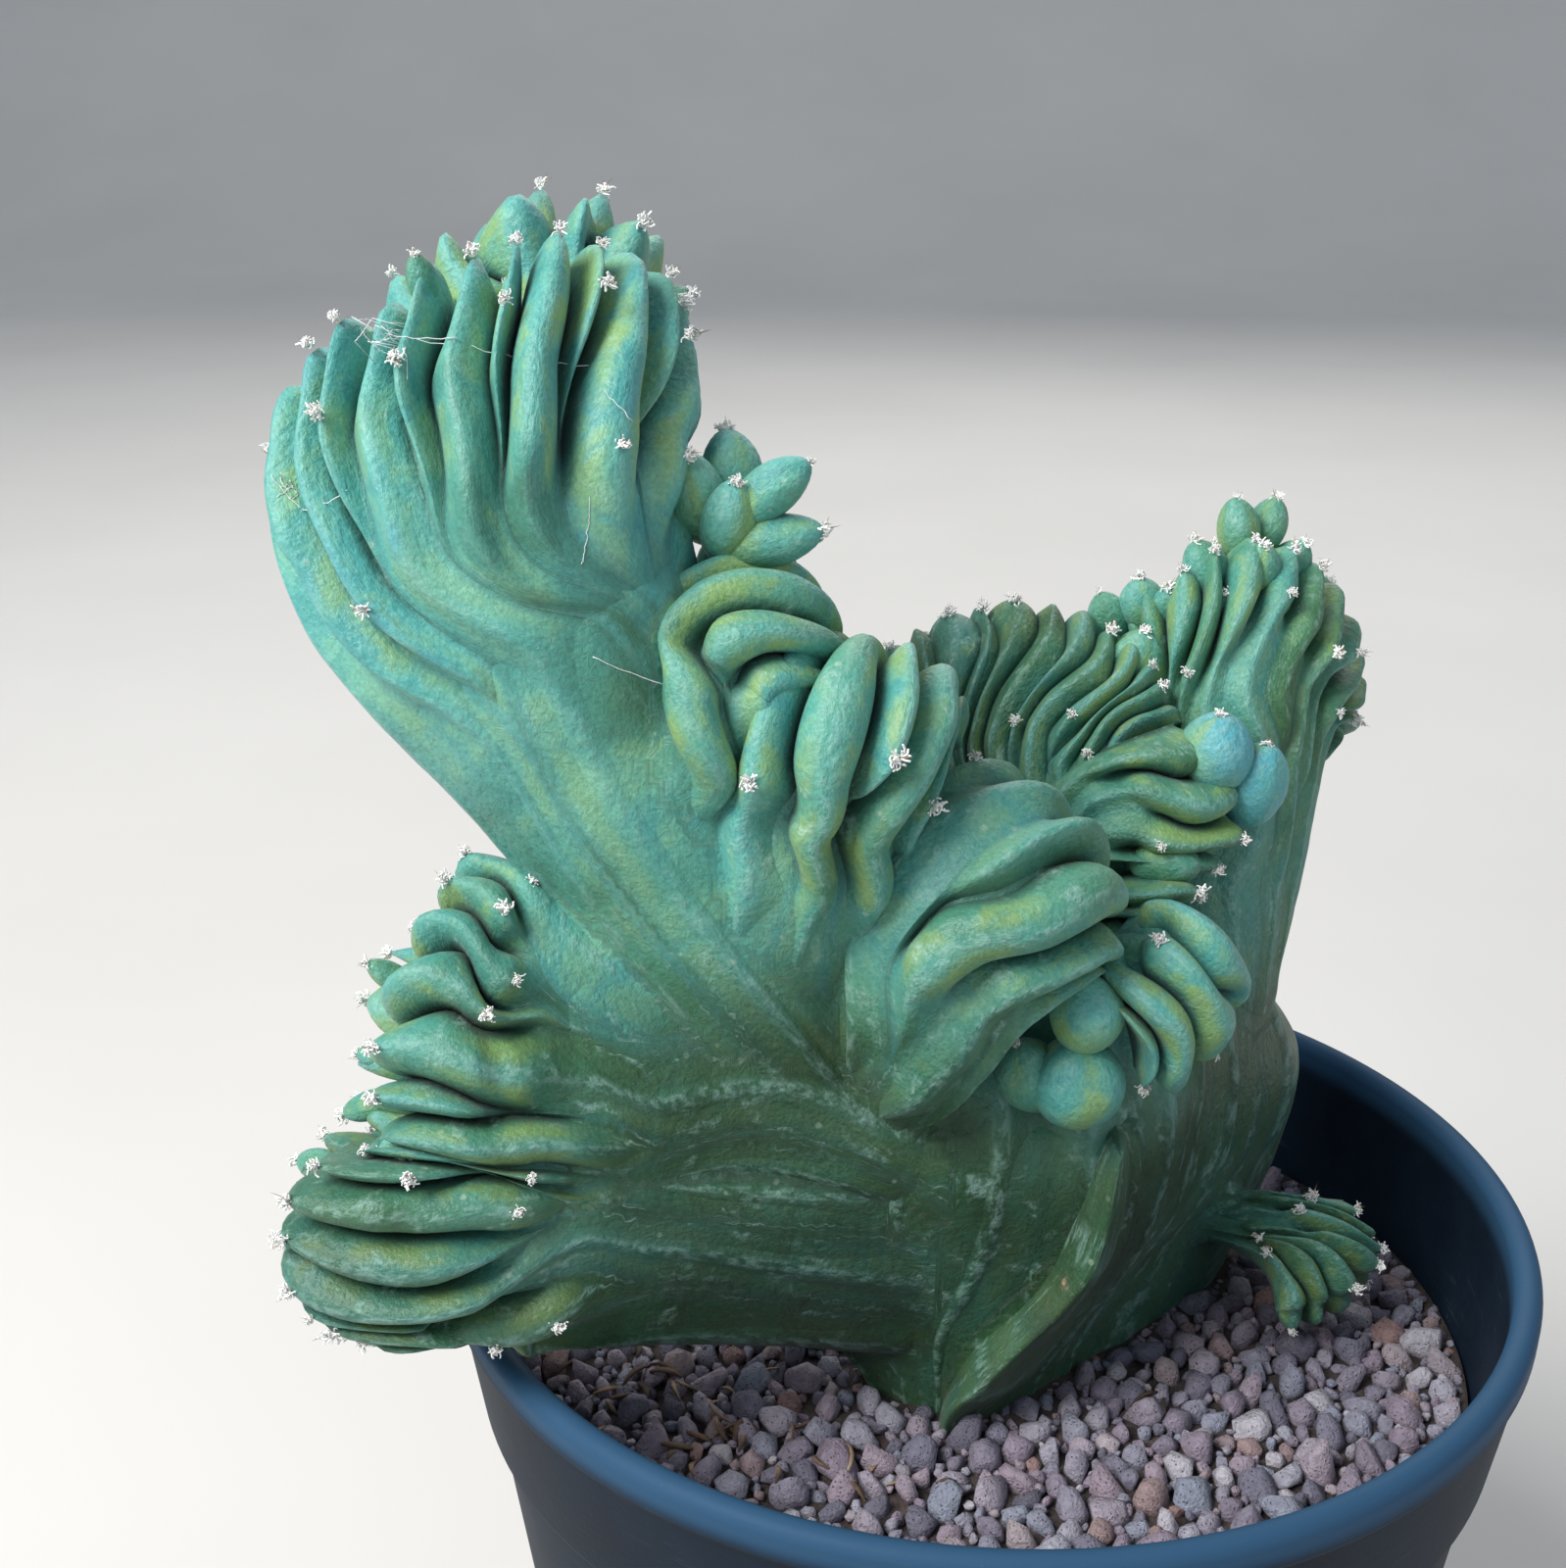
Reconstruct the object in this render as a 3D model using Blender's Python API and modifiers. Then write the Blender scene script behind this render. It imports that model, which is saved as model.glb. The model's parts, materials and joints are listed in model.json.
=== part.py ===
"""A crested blue candle cactus in a round nursery pot.

The plant is one body: thick fans whose ribs run up one face, over the growing edge and
down the other, melted into one skin with small bulbs and with the stem. Each rib ends in
a plump finger, with spines at its areoles. The stem stands in a plain hole in the grit.
The grit fills a turned plastic pot with a collar, a rolled lip and drainage holes.

Metres, +Z up. The origin is the centre of the pot's underside; -Y faces the viewer.
The points that shape the plant are given in millimetres and scaled by MM.
"""

import math
import random

import bmesh
import bpy
import numpy as np
from mathutils import Matrix, Vector

MM = 0.001

# Pot
POT_HEIGHT = 0.090
RIM_RADIUS = 0.0525
BASE_RADIUS = 0.0385
WALL = 0.0010
FLOOR = 0.0014
COLLAR_HEIGHT = 0.017
COLLAR_STEP = 0.0011
LIP_WIDTH = 0.0026
LIP_DROP = 0.0034
FOOT_BEVEL = 0.0012
DRAIN_COUNT = 6
DRAIN_RADIUS = 0.0040
DRAIN_RING = 0.0280
DRAIN_SIDES = 12
DRAIN_DEPTH = 0.010
CORNER = 0.0010
POT_STEPS = 40

# Grit
GRIT_TOP = 0.0742
GRIT_MOUND = 0.0012
STONE_PITCH = 0.0066
STONE_RISE = (0.0010, 0.0027)
STONE_TILT = 0.0004
STONE_SHIFT = 0.0015
STONE_TOP = (0.55, 0.72)
BED_UNDERSIDE = -0.010
FILL_HEIGHT = 0.084
STONE_SEED = 7
FIT_GAP = 0.0004

# Stem and spines
STEM_FOOT = 56.0
HOLE_GAP = 0.0010
SPINE_LENGTH = 2.4
SPINE_RADIUS = 0.38
SPINE_SINK = 1.3
SPINE_SEED = 5
SPINE_LEAN = 0.4
EDGE_SPINES = 0.45
TONGUE_SPINES = 0.25
SHARP_ANGLE = 50

# Ribs: the width that a hidden rib keeps, and how it opens after its start or closes at its end
HIDDEN_WIDTH = 0.12
OPENING = (-0.05, 0.09)
CLOSING = (-0.12, 0.03)

# A finger: how it rises out of its crease, how its tongue lifts, and the shape across it
RISING = (-0.03, 0.06)
TONGUE = (-0.02, 0.08)
TONGUE_POINT = 0.05
ROUNDING = (1.9, 0.85)
RIDGE_SHARPNESS = 1.6
SWELLING = 0.25

# The growing edge: a tooth before it and one behind it with a groove between them, in degrees
FRONT_TOOTH = 62
BACK_TOOTH = 118
TOOTH_WIDTH = 17
TOOTH_SHARPNESS = 1.3

# Where a rib is stepped: how abrupt the step is, how far it reaches and how high it is
STEP_SLOPE = 0.014
STEP_REACH = 0.09
STEP_HEIGHT = 0.7

# The smooth flesh under the ribs: how far it lies below the fingers, how much of a lobe it
# fills, and how it is drawn and rounded where lobes meet
FLESH_DEPTH = 0.9
FLESH_SHARE = 0.86
FLESH_ROWS = 17
THINNEST = 0.6
FLESH_STATIONS = tuple(k / 12 - 1 for k in range(24))
FLESH_GRAIN = 0.0008
FLESH_ROUNDS = 14

# How finely the skin is drawn before it is faceted
RIB_STATIONS = (-1.0, -0.93, -0.8, -0.55, -0.25, 0.0, 0.25, 0.55, 0.8, 0.93)
GROWTH_ROWS = 26
CAP_ANGLES = tuple(range(0, 181, 12))
SKIN_GRAIN = 0.0006
SKIN_FACETS = 9700
HOLE_FACETS = 800


class Fan:
    """A lobe of the plant: a cage of rows from its root to its growing edge, and its ribs.

    starts: where each rib rises out of the crease between its neighbours, 0 root, 1 edge.
    """

    def __init__(self, name, cage, half, starts, relief, **more):
        self.name = name
        self.cage = cage
        self.half = half
        self.starts = starts
        self.relief = relief
        self.seed = more.get("seed", 1)
        self.cap = more.get("cap", 0.17)
        self.side_power = more.get("side_power", 5)
        self.tooth_front = more.get("tooth_front", 0.7)
        self.tooth_back = more.get("tooth_back", 1.2)
        self.front_turn = more.get("front_turn", FRONT_TOOTH)
        self.groove = more.get("groove", 1.8)
        self.lift = more.get("lift", 0.9)
        self.ridge = more.get("ridge", 0.9)
        self.sway = more.get("sway", 0.02)
        self.wander = more.get("wander", 0.2)
        self.uneven = more.get("uneven", 0.35)
        self.rise = more.get("rise", -0.2)
        self.emerge = more.get("emerge", (0.2, 0.55))
        draw = random.Random(self.seed)
        count = len(starts)
        even = [1 + self.uneven * draw.uniform(-1, 1) for _ in range(count)]
        self.front_weights = np.array(more.get("weights", even))
        self.back_weights = np.array([1 + self.uneven * draw.uniform(-1, 1) for _ in range(count)])
        self.depths = np.array([draw.uniform(0.8, 1.2) for _ in range(count + 1)])
        low, high = more.get("tongue_range", (0.35, 0.65))
        drawn = [max(draw.uniform(low, high), start + 0.04) for start in starts]
        self.tongues = np.array(more.get("tongues", drawn))
        self.ends = np.array(more.get("ends", [2.0] * count))
        self.fullness = np.array(more.get("fullness", [1.0] * count))
        self.steps = np.array(more.get("steps", [2.0] * count))
        self.phase = draw.uniform(0.0, 1.0)
        self.phases = np.array([draw.uniform(0.0, 1.0) for _ in range(count + 1)])


STEM = Fan(
    "stem",
    [
        [
            (-6, -4, STEM_FOOT), (-4, -6, STEM_FOOT), (0, -8, STEM_FOOT),
            (7, -2, STEM_FOOT), (18, 8, STEM_FOOT),
        ],
        [(-10, -5, 75), (-7, -8, 75), (-1, -9, 75), (8, -2, 75), (28, 14, 75)],
        [(-17, -6, 85), (-11, -9, 84), (2, -10, 84), (12, 0, 85), (33, 17, 86)],
        [(-22, -5, 97), (-12, -11, 95), (6, -10, 93), (17, 1, 95), (34, 18, 97)],
        [(-26, -6, 108), (-13, -11, 107), (7, -9, 104), (16, 3, 108), (27, 15, 108)],
        [(-24, -6, 118), (-12, -8, 118), (5, -3, 119), (13, 5, 121), (23, 13, 120)],
    ],
    [5.0, 5.2, 5.6, 6.4, 7.4, 6.0],
    [0.0] * 9,
    0.0,
    weights=[1.2, 1.0, 0.9, 0.8, 1.0, 0.8, 1.0, 1.1, 1.3],
    tongues=[2.0] * 9,
    cap=0.14,
    tooth_front=0.0,
    tooth_back=0.0,
    groove=0.0,
    lift=0.0,
    ridge=1.7,
    sway=0.0,
    wander=0.1,
    rise=-0.45,
    emerge=(1.0, 2.0),
)

KEEL = Fan(
    "keel",
    [
        [(5, -1, STEM_FOOT), (5, -2, 76), (9, -2, 90), (10, -2, 106)],
        [(2, -6, STEM_FOOT), (1, -9, 76), (7, -10, 90), (10, -10, 106)],
        [(0, -11, STEM_FOOT), (-5, -18, 75), (-0.6, -20.4, 83), (7.4, -20, 93), (10, -19, 105)],
    ],
    [6.0, 4.4, 1.5],
    [0.0, 0.0, 0.0],
    0.0,
    tongues=[2.0] * 3,
    cap=0.2,
    side_power=8,
    tooth_front=0.0,
    tooth_back=0.0,
    groove=0.0,
    lift=0.0,
    ridge=0.6,
    sway=0.0,
    rise=-0.3,
    emerge=(1.0, 2.0),
)

FANS = [
    STEM,
    KEEL,
    Fan(
        "upper_lobe",
        [
            [(-15, -7, 96), (-8, -8, 99), (-2, -7, 102)],
            [(-29, -12, 117), (-24, -15, 122), (-18, -12, 127)],
            [(-43, -10, 136), (-38, -14, 140), (-33, -15, 146), (-30, -8, 149)],
            [(-57, -8, 151), (-50, -13, 157), (-42, -15, 161), (-37, -13, 162), (-35, -4, 160)],
            [(-61, -4, 163), (-55, -6, 172), (-46, -6, 178), (-39, -4, 179), (-35, 0, 175), (-34, 3, 166)],
        ],
        [6.0, 7.0, 8.5, 9.5, 8.5],
        [0.0, 0.0, 0.6, 0.76, 0.0, 0.76, 0.66, 0.8, 0.68, 0.82, 0.67, 0.8, 0.68, 0.78, 0.0, 0.6],
        2.5,
        weights=[2.2, 1.3, 1.0, 0.9, 1.6, 0.8, 1.6, 0.7, 1.3, 0.7, 1.5, 0.8, 1.4, 0.8, 1.6, 0.8],
        tongues=[
            2.0, 0.62, 0.65, 0.81, 0.7, 0.81, 0.7, 0.84,
            0.71, 0.86, 0.7, 0.84, 0.71, 0.82, 0.72, 0.66,
        ],
        fullness=[0.1, 0.45, 0.6, 0.9, 0.3, 1.0, 0.5, 1.0, 1.0, 1.0, 1.0, 1.0, 1.0, 0.9, 0.3, 0.7],
        steps=[
            2.0, 0.8, 2.0, 2.0, 2.0, 2.0, 2.0, 2.0,
            0.76, 2.0, 2.0, 0.82, 0.84, 2.0, 2.0, 2.0,
        ],
        seed=4,
        cap=0.15,
        rise=-0.6,
        emerge=(0.58, 0.74),
        front_turn=50,
        tooth_front=2.0,
        tooth_back=2.6,
        groove=2.6,
        lift=1.4,
        ridge=1.5,
        sway=0.0,
        wander=0.12,
    ),
    Fan(
        "rear_crest",
        [
            [(-48, 0, 158), (-40, 2, 160), (-34, 3, 158)],
            [(-53, 2, 169), (-43, 4, 172), (-33, 5, 167)],
            [(-56, 4, 171), (-50, 5, 177), (-44, 5, 182), (-37, 5, 183), (-31, 6, 179), (-28, 7, 172)],
        ],
        [6.5, 7.0, 6.0],
        [0.3, 0.0, 0.2, 0.0, 0.3, 0.0, 0.2],
        2.0,
        seed=14,
        cap=0.3,
        uneven=0.5,
        tongue_range=(0.2, 0.5),
        tooth_front=2.4,
        tooth_back=2.4,
        groove=1.4,
        sway=0.08,
    ),
    Fan(
        "lower_lobe",
        [
            [(-5, -11, 96), (-8, -12, 104), (-12, -9, 112)],
            [(-24, -17, 102), (-27, -16, 112), (-29, -12, 122)],
            [(-38, -25, 103), (-42, -23, 111), (-43, -19, 120), (-39, -12, 128)],
            [(-46, -28, 106), (-52, -26, 110), (-54, -23, 117), (-51, -18, 125), (-46, -11, 130)],
        ],
        [6.0, 6.5, 8.0, 7.6],
        [0.0, 0.62, 0.5, 0.72, 0.0, 0.6, 0.66, 0.7, 0.0],
        2.2,
        weights=[1.2, 0.7, 1.3, 0.7, 1.4, 0.8, 1.3, 0.7, 1.6],
        tongues=[0.6, 0.66, 0.55, 0.7, 0.6, 0.66, 0.62, 0.7, 0.66],
        steps=[2.0, 2.0, 0.78, 2.0, 0.74, 2.0, 2.0, 2.0, 2.0],
        seed=11,
        cap=0.24,
        ridge=1.0,
        rise=-0.5,
        emerge=(0.54, 0.72),
        front_turn=48,
        tooth_front=1.3,
        tooth_back=1.8,
        groove=2.2,
        lift=1.3,
        sway=0.09,
        wander=0.4,
    ),
    Fan(
        "lower_bulge",
        [
            [(-3, -7, 76), (2, -8, 89), (1, -7, 99)],
            [(-23, -14.5, 85), (-25, -18, 96), (-25, -18, 106)],
            [(-42, -23, 94.5), (-46, -26, 99), (-46, -26, 106), (-44, -24, 111)],
            [
                (-45, -27, 94), (-53, -28, 94.5), (-59, -27, 98),
                (-61, -26, 104), (-57, -25, 110), (-51, -25, 112),
            ],
        ],
        [4.6, 6.4, 8.0, 8.0],
        [0.0, 0.62, 0.5, 0.72, 0.0, 0.6, 0.56, 0.68, 0.0],
        2.2,
        weights=[1.7, 0.7, 1.3, 0.7, 1.2, 0.8, 1.4, 0.7, 1.2],
        seed=15,
        cap=0.26,
        ridge=1.0,
        uneven=0.3,
        rise=-0.5,
        emerge=(0.54, 0.72),
        tongues=[0.6, 0.66, 0.5, 0.7, 0.6, 0.62, 0.55, 0.7, 0.62],
        steps=[2.0, 2.0, 0.76, 2.0, 2.0, 2.0, 0.78, 2.0, 2.0],
        front_turn=48,
        tooth_front=1.3,
        tooth_back=1.8,
        groove=2.2,
        lift=1.3,
        sway=-0.08,
        wander=0.4,
    ),
    Fan(
        "shoulder_roll",
        [
            [(-29, -7, 127), (-24, -7, 127)],
            [(-30, -15, 141), (-27, -19, 142), (-24, -16, 141)],
            [(-29, -13, 150), (-25, -18, 150), (-22, -17, 147)],
            [(-24, -11, 153), (-21, -16, 152), (-20, -16, 147)],
            [(-19, -8, 151), (-17, -11, 148), (-17, -13, 143)],
        ],
        [4.0, 4.6, 5.0, 4.6, 4.0],
        [0.0, 0.2, 0.0, 0.45, 0.0, 0.3],
        2.0,
        seed=3,
        cap=0.2,
        tongue_range=(0.2, 0.45),
        tooth_front=0.3,
    ),
    Fan(
        "front_fold",
        [
            [(-28, -7, 114), (-19, -7, 112), (-10, -6, 113)],
            [(-27, -14, 128), (-20, -17, 128), (-12, -15, 127)],
            [(-25, -16, 138), (-18, -19, 139), (-9, -16, 136)],
            [(-22, -15, 144), (-15, -18, 145), (-8, -14, 141)],
            [(-18, -9, 144), (-12, -10, 144), (-4, -7, 139)],
        ],
        [3.5, 5.4, 6.4, 6.2, 5.0],
        [0.0, 0.5, 0.0, 0.0, 0.55, 0.0, 0.4],
        2.4,
        weights=[1.1, 0.8, 1.3, 1.0, 0.7, 1.5, 1.0],
        tongues=[0.42, 0.6, 0.5, 0.3, 0.6, 0.28, 0.5],
        seed=8,
        cap=0.2,
        tooth_front=0.4,
        lift=1.1,
        ridge=1.4,
    ),
    Fan(
        "right_fold",
        [
            [(-12, -6, 106), (-8, -8, 102)],
            [(-13, -12, 119), (-9, -17, 116), (-6, -15, 109)],
            [(-11, -12, 128), (-6, -19, 126), (-1, -17, 117)],
            [(-6, -9, 134), (0, -17, 131), (3, -17, 121)],
            [(-1, -4, 133), (5, -10, 129), (6, -12, 124), (4, -13, 119)],
        ],
        [3.0, 6.0, 7.2, 6.8, 5.0],
        [0.0, 0.0, 0.6, 0.35, 0.0, 0.0],
        1.8,
        weights=[1.2, 1.5, 0.7, 1.0, 1.2, 1.1],
        tongues=[0.7, 0.72, 0.74, 0.4, 0.5, 0.6],
        fullness=[0.5, 0.4, 0.8, 1.0, 0.8, 0.6],
        seed=5,
        emerge=(0.1, 0.5),
        cap=0.2,
        tooth_front=0.3,
        lift=1.0,
        ridge=1.4,
    ),
    Fan(
        "side_curtain",
        [
            [(3, 3, 130), (4, 1, 123)],
            [(9, 0, 136), (11, -2, 131), (10, -2, 127)],
            [(16, 0, 139), (20, -2, 134), (21, -3, 129), (18, -4, 125)],
        ],
        [3.8, 5.0, 4.4],
        [0.0, 0.0, 0.35, 0.0],
        1.9,
        seed=17,
        cap=0.3,
        tongue_range=(0.35, 0.6),
        tooth_front=0.4,
        tooth_back=0.6,
        groove=1.0,
    ),
    Fan(
        "inner_fold",
        [
            [(6, 2, 122), (7, 0, 116)],
            [(11, -5, 126), (11, -6, 120)],
            [(17, -6, 126), (16, -8, 122), (13, -8, 119)],
        ],
        [3.6, 4.2, 3.8],
        [0.0, 0.3, 0.0],
        1.7,
        seed=7,
        cap=0.3,
        tongue_range=(0.3, 0.5),
        tooth_front=0.3,
        tooth_back=0.4,
        groove=0.9,
    ),
    Fan(
        "small_crest",
        [
            [(14, -8, 123), (11, -11, 120), (8, -12, 117)],
            [(17, -11, 123), (13, -16, 120), (10, -17, 117)],
            [(21, -10, 119), (17, -14, 115), (14, -16, 112), (11, -16, 112)],
        ],
        [3.6, 4.6, 4.0],
        [0.0, 0.3, 0.0, 0.0],
        2.0,
        seed=6,
        cap=0.3,
        tongue_range=(0.1, 0.3),
        tooth_front=0.3,
        tooth_back=0.4,
        groove=0.8,
    ),
    Fan(
        "back_ridge",
        [
            [(-2, 4, 124), (3, 3, 121), (8, 2, 122)],
            [(-8, 9, 133), (-1, 8, 133), (6, 5, 134), (12, 3, 134)],
            [(-14, 13, 138), (-5, 16, 144), (6, 14, 146), (14, 8, 143), (17, 3, 138)],
        ],
        [5.0, 5.4, 5.0],
        [0.0, 0.4, 0.0, 0.5, 0.0, 0.3, 0.0, 0.45, 0.0, 0.5, 0.0, 0.4, 0.0],
        0.9,
        seed=9,
        fullness=[0.5, 0.7, 0.4, 0.7, 0.4, 0.8, 0.5, 0.8, 0.6, 1.0, 0.8, 1.0, 0.8],
        cap=0.32,
        tongue_range=(0.2, 0.5),
        tooth_front=0.0,
        tooth_back=0.0,
        groove=0.2,
        lift=0.5,
        sway=0.05,
    ),
    Fan(
        "right_lobe",
        [
            [(17, 8, 108), (22, 9, 106), (26, 15, 104)],
            [(16, 9, 126), (22, 8, 125), (28, 15, 118)],
            [(16, 11, 137), (23, 9, 138), (31, 17, 132)],
            [
                (13, 15, 144), (18, 14, 148), (23, 15, 151), (28, 17, 149),
                (33, 20, 142), (34, 22, 134), (32, 22, 126),
            ],
        ],
        [6.0, 7.0, 6.6, 5.6],
        [0.0, 0.5, 0.0, 0.6, 0.3, 0.0, 0.6, 0.0, 0.5, 0.0, 0.65, 0.0, 0.6],
        1.4,
        seed=10,
        cap=0.16,
        tongue_range=(0.6, 0.85),
        front_turn=50,
        tooth_front=1.2,
        tooth_back=1.5,
        groove=1.5,
    ),
    Fan(
        "offset",
        [
            [(23, 6, 82.0), (22, 7, 86)],
            [(28, -1, 81.4), (31, 0, 84.0), (30, 4, 87.0)],
            [(28, -8, 80.9), (34, -6, 81.2), (39, -1, 82.6), (37, 3, 87.0)],
        ],
        [4.0, 4.1, 3.2],
        [0.0, 0.35, 0.0, 0.3, 0.0, 0.35, 0.0],
        1.6,
        seed=12,
        cap=0.3,
        tongue_range=(0.3, 0.6),
        tooth_front=0.4,
        tooth_back=0.4,
        groove=0.8,
    ),
]

# Bulbs: centre, radius and length of each, then the way that it points
BULBS = [
    ((9.5, 3.0, 121.5), 6.5, 9.0, (0.0, 0.0, 1.0)),
    ((-23.0, -8.5, 154.5), 4.6, 6.0, (0.0, -0.2, 1.0)),
    ((-26.8, -11.5, 162.0), 2.6, 4.2, (-0.3, -0.2, 1.0)),
    ((-24.2, -13.5, 160.5), 2.4, 3.8, (0.2, -0.3, 1.0)),
    ((-20.8, -13.0, 163.0), 2.2, 4.0, (0.9, -0.1, 0.7)),
    ((-20.8, -13.5, 159.0), 2.2, 4.4, (1.0, 0.0, 0.2)),
    ((-24.0, -8.0, 163.5), 2.6, 3.6, (-0.2, 0.5, 1.0)),
    ((-21.5, -18.0, 146.0), 2.0, 3.2, (0.7, -0.6, 0.6)),
    ((-19.0, -15.5, 149.0), 1.9, 2.8, (0.8, -0.3, 0.5)),
    ((19.0, -2.5, 137.0), 3.5, 3.8, (0.0, -0.2, 1.0)),
    ((22.8, -1.5, 133.6), 3.2, 4.2, (0.2, -0.2, 1.0)),
    ((6.2, -18.4, 119.0), 3.3, 3.7, (-0.1, -0.1, 1.0)),
    ((5.8, -18.0, 112.0), 4.2, 4.4, (0.0, -0.2, 1.0)),
    ((1.8, -16.6, 112.0), 3.1, 3.6, (-0.4, -0.2, 1.0)),
    ((10.4, -14.0, 122.0), 2.2, 2.8, (0.6, -0.6, 0.5)),
    ((14.5, -6.0, 127.5), 2.2, 3.2, (1.0, -0.3, 0.1)),
    ((13.0, -9.0, 124.5), 1.8, 2.4, (0.6, -0.7, 0.2)),
    ((11.2, 13.0, 145.0), 2.0, 2.6, (-0.4, 0.0, 1.0)),
    ((13.0, 8.0, 141.5), 3.0, 4.0, (0.2, -0.2, 1.0)),
    ((14.3, 12.5, 146.4), 2.3, 2.8, (-0.2, -0.2, 1.0)),
    ((16.6, 11.0, 146.6), 1.7, 2.4, (-0.2, -0.5, 1.0)),
    ((18.8, 9.6, 144.8), 1.5, 2.0, (0.0, -0.8, 0.6)),
    ((20.0, 12.0, 150.0), 2.2, 3.0, (-0.4, 0.0, 1.0)),
    ((23.2, 14.0, 153.4), 2.1, 3.0, (-0.1, 0.0, 1.0)),
    ((26.4, 16.0, 153.2), 2.0, 2.8, (0.3, 0.0, 1.0)),
    ((24.6, 11.2, 150.2), 2.3, 3.0, (0.1, -0.5, 1.0)),
    ((28.4, 15.0, 149.6), 2.1, 2.8, (0.6, -0.3, 1.0)),
    ((26.2, 10.8, 147.0), 1.7, 2.4, (0.2, -0.8, 0.6)),
    ((29.4, 13.4, 145.4), 1.6, 2.2, (0.5, -0.8, 0.4)),
    ((31.8, 16.0, 141.8), 1.5, 2.0, (0.8, -0.6, 0.3)),
    ((21.4, 10.2, 146.6), 1.8, 2.6, (-0.1, -0.7, 0.8)),
    ((31.0, 17.0, 146.0), 2.0, 2.6, (0.9, 0.1, 0.6)),
    ((33.0, 20.0, 140.5), 1.8, 2.4, (1.0, 0.0, 0.3)),
    ((34.0, 21.5, 133.5), 1.7, 2.4, (1.0, 0.0, 0.1)),
    ((32.6, 21.5, 126.5), 1.8, 2.4, (1.0, 0.0, -0.1)),
    ((30.4, 19.5, 120.0), 1.7, 2.2, (1.0, 0.0, -0.1)),
]
BULB_SIDES = 7
BULB_RINGS = 5


def smooth_step(low, high, value):
    t = np.clip((value - low) / (high - low), 0, 1)
    return t * t * (3 - 2 * t)


def curve_weights(count, share):
    """How much each of a smooth curve's points counts at shares 0..1 of its length."""
    spans = count - 1
    place = np.asarray(share, float) * spans
    span = np.clip(np.floor(place), 0, spans - 1)
    f = place - span
    near = (
        -0.5 * f + f**2 - 0.5 * f**3,
        1 - 2.5 * f**2 + 1.5 * f**3,
        0.5 * f + 2 * f**2 - 1.5 * f**3,
        -0.5 * f**2 + 0.5 * f**3,
    )
    weights = np.zeros(f.shape + (count + 2,))
    for k, part in enumerate(near):
        index = (span.astype(int) + k)[..., None]
        np.put_along_axis(weights, index, part[..., None], -1)
    # A point beyond either end lies on the line through the last two
    inner = weights[..., 1:-1]
    inner[..., 0] += 2 * weights[..., 0]
    inner[..., 1] -= weights[..., 0]
    inner[..., -1] += 2 * weights[..., -1]
    inner[..., -2] -= weights[..., -1]
    return inner


def middle(fan, u, v):
    """Points of the fan's middle sheet, u across from the left, v from root to edge."""
    rows = [curve_weights(len(row), u) @ np.array(row, float) for row in fan.cage]
    return np.einsum("...j,j...c->...c", curve_weights(len(fan.cage), v), np.array(rows))


def creases(fan, v, back):
    """Where the creases lie across the fan: shares 0..1, a last axis of one more than the ribs."""
    place = v[..., None]
    starts = np.array(fan.starts)
    opening = smooth_step(starts + OPENING[0], starts + OPENING[1], place)
    opening = opening * (1 - smooth_step(fan.ends + CLOSING[0], fan.ends + CLOSING[1], place))
    weights = fan.front_weights * (1 - back[..., None]) + fan.back_weights * back[..., None]
    edges = np.cumsum(weights * (HIDDEN_WIDTH + (1 - HIDDEN_WIDTH) * opening), axis=-1)
    edges = np.concatenate([np.zeros_like(edges[..., :1]), edges], axis=-1)
    edges = edges / edges[..., -1:]
    widths = np.diff(edges, axis=-1)
    room = np.minimum(widths[..., 1:], widths[..., :-1])
    wave = np.sin(2 * math.pi * (1.7 * place + fan.phases[1:-1]))
    edges[..., 1:-1] += fan.wander * room * wave
    wave = np.sin(2 * math.pi * (1.4 * place + fan.phase))
    return edges + fan.sway * wave * 4 * edges * (1 - edges)


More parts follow.
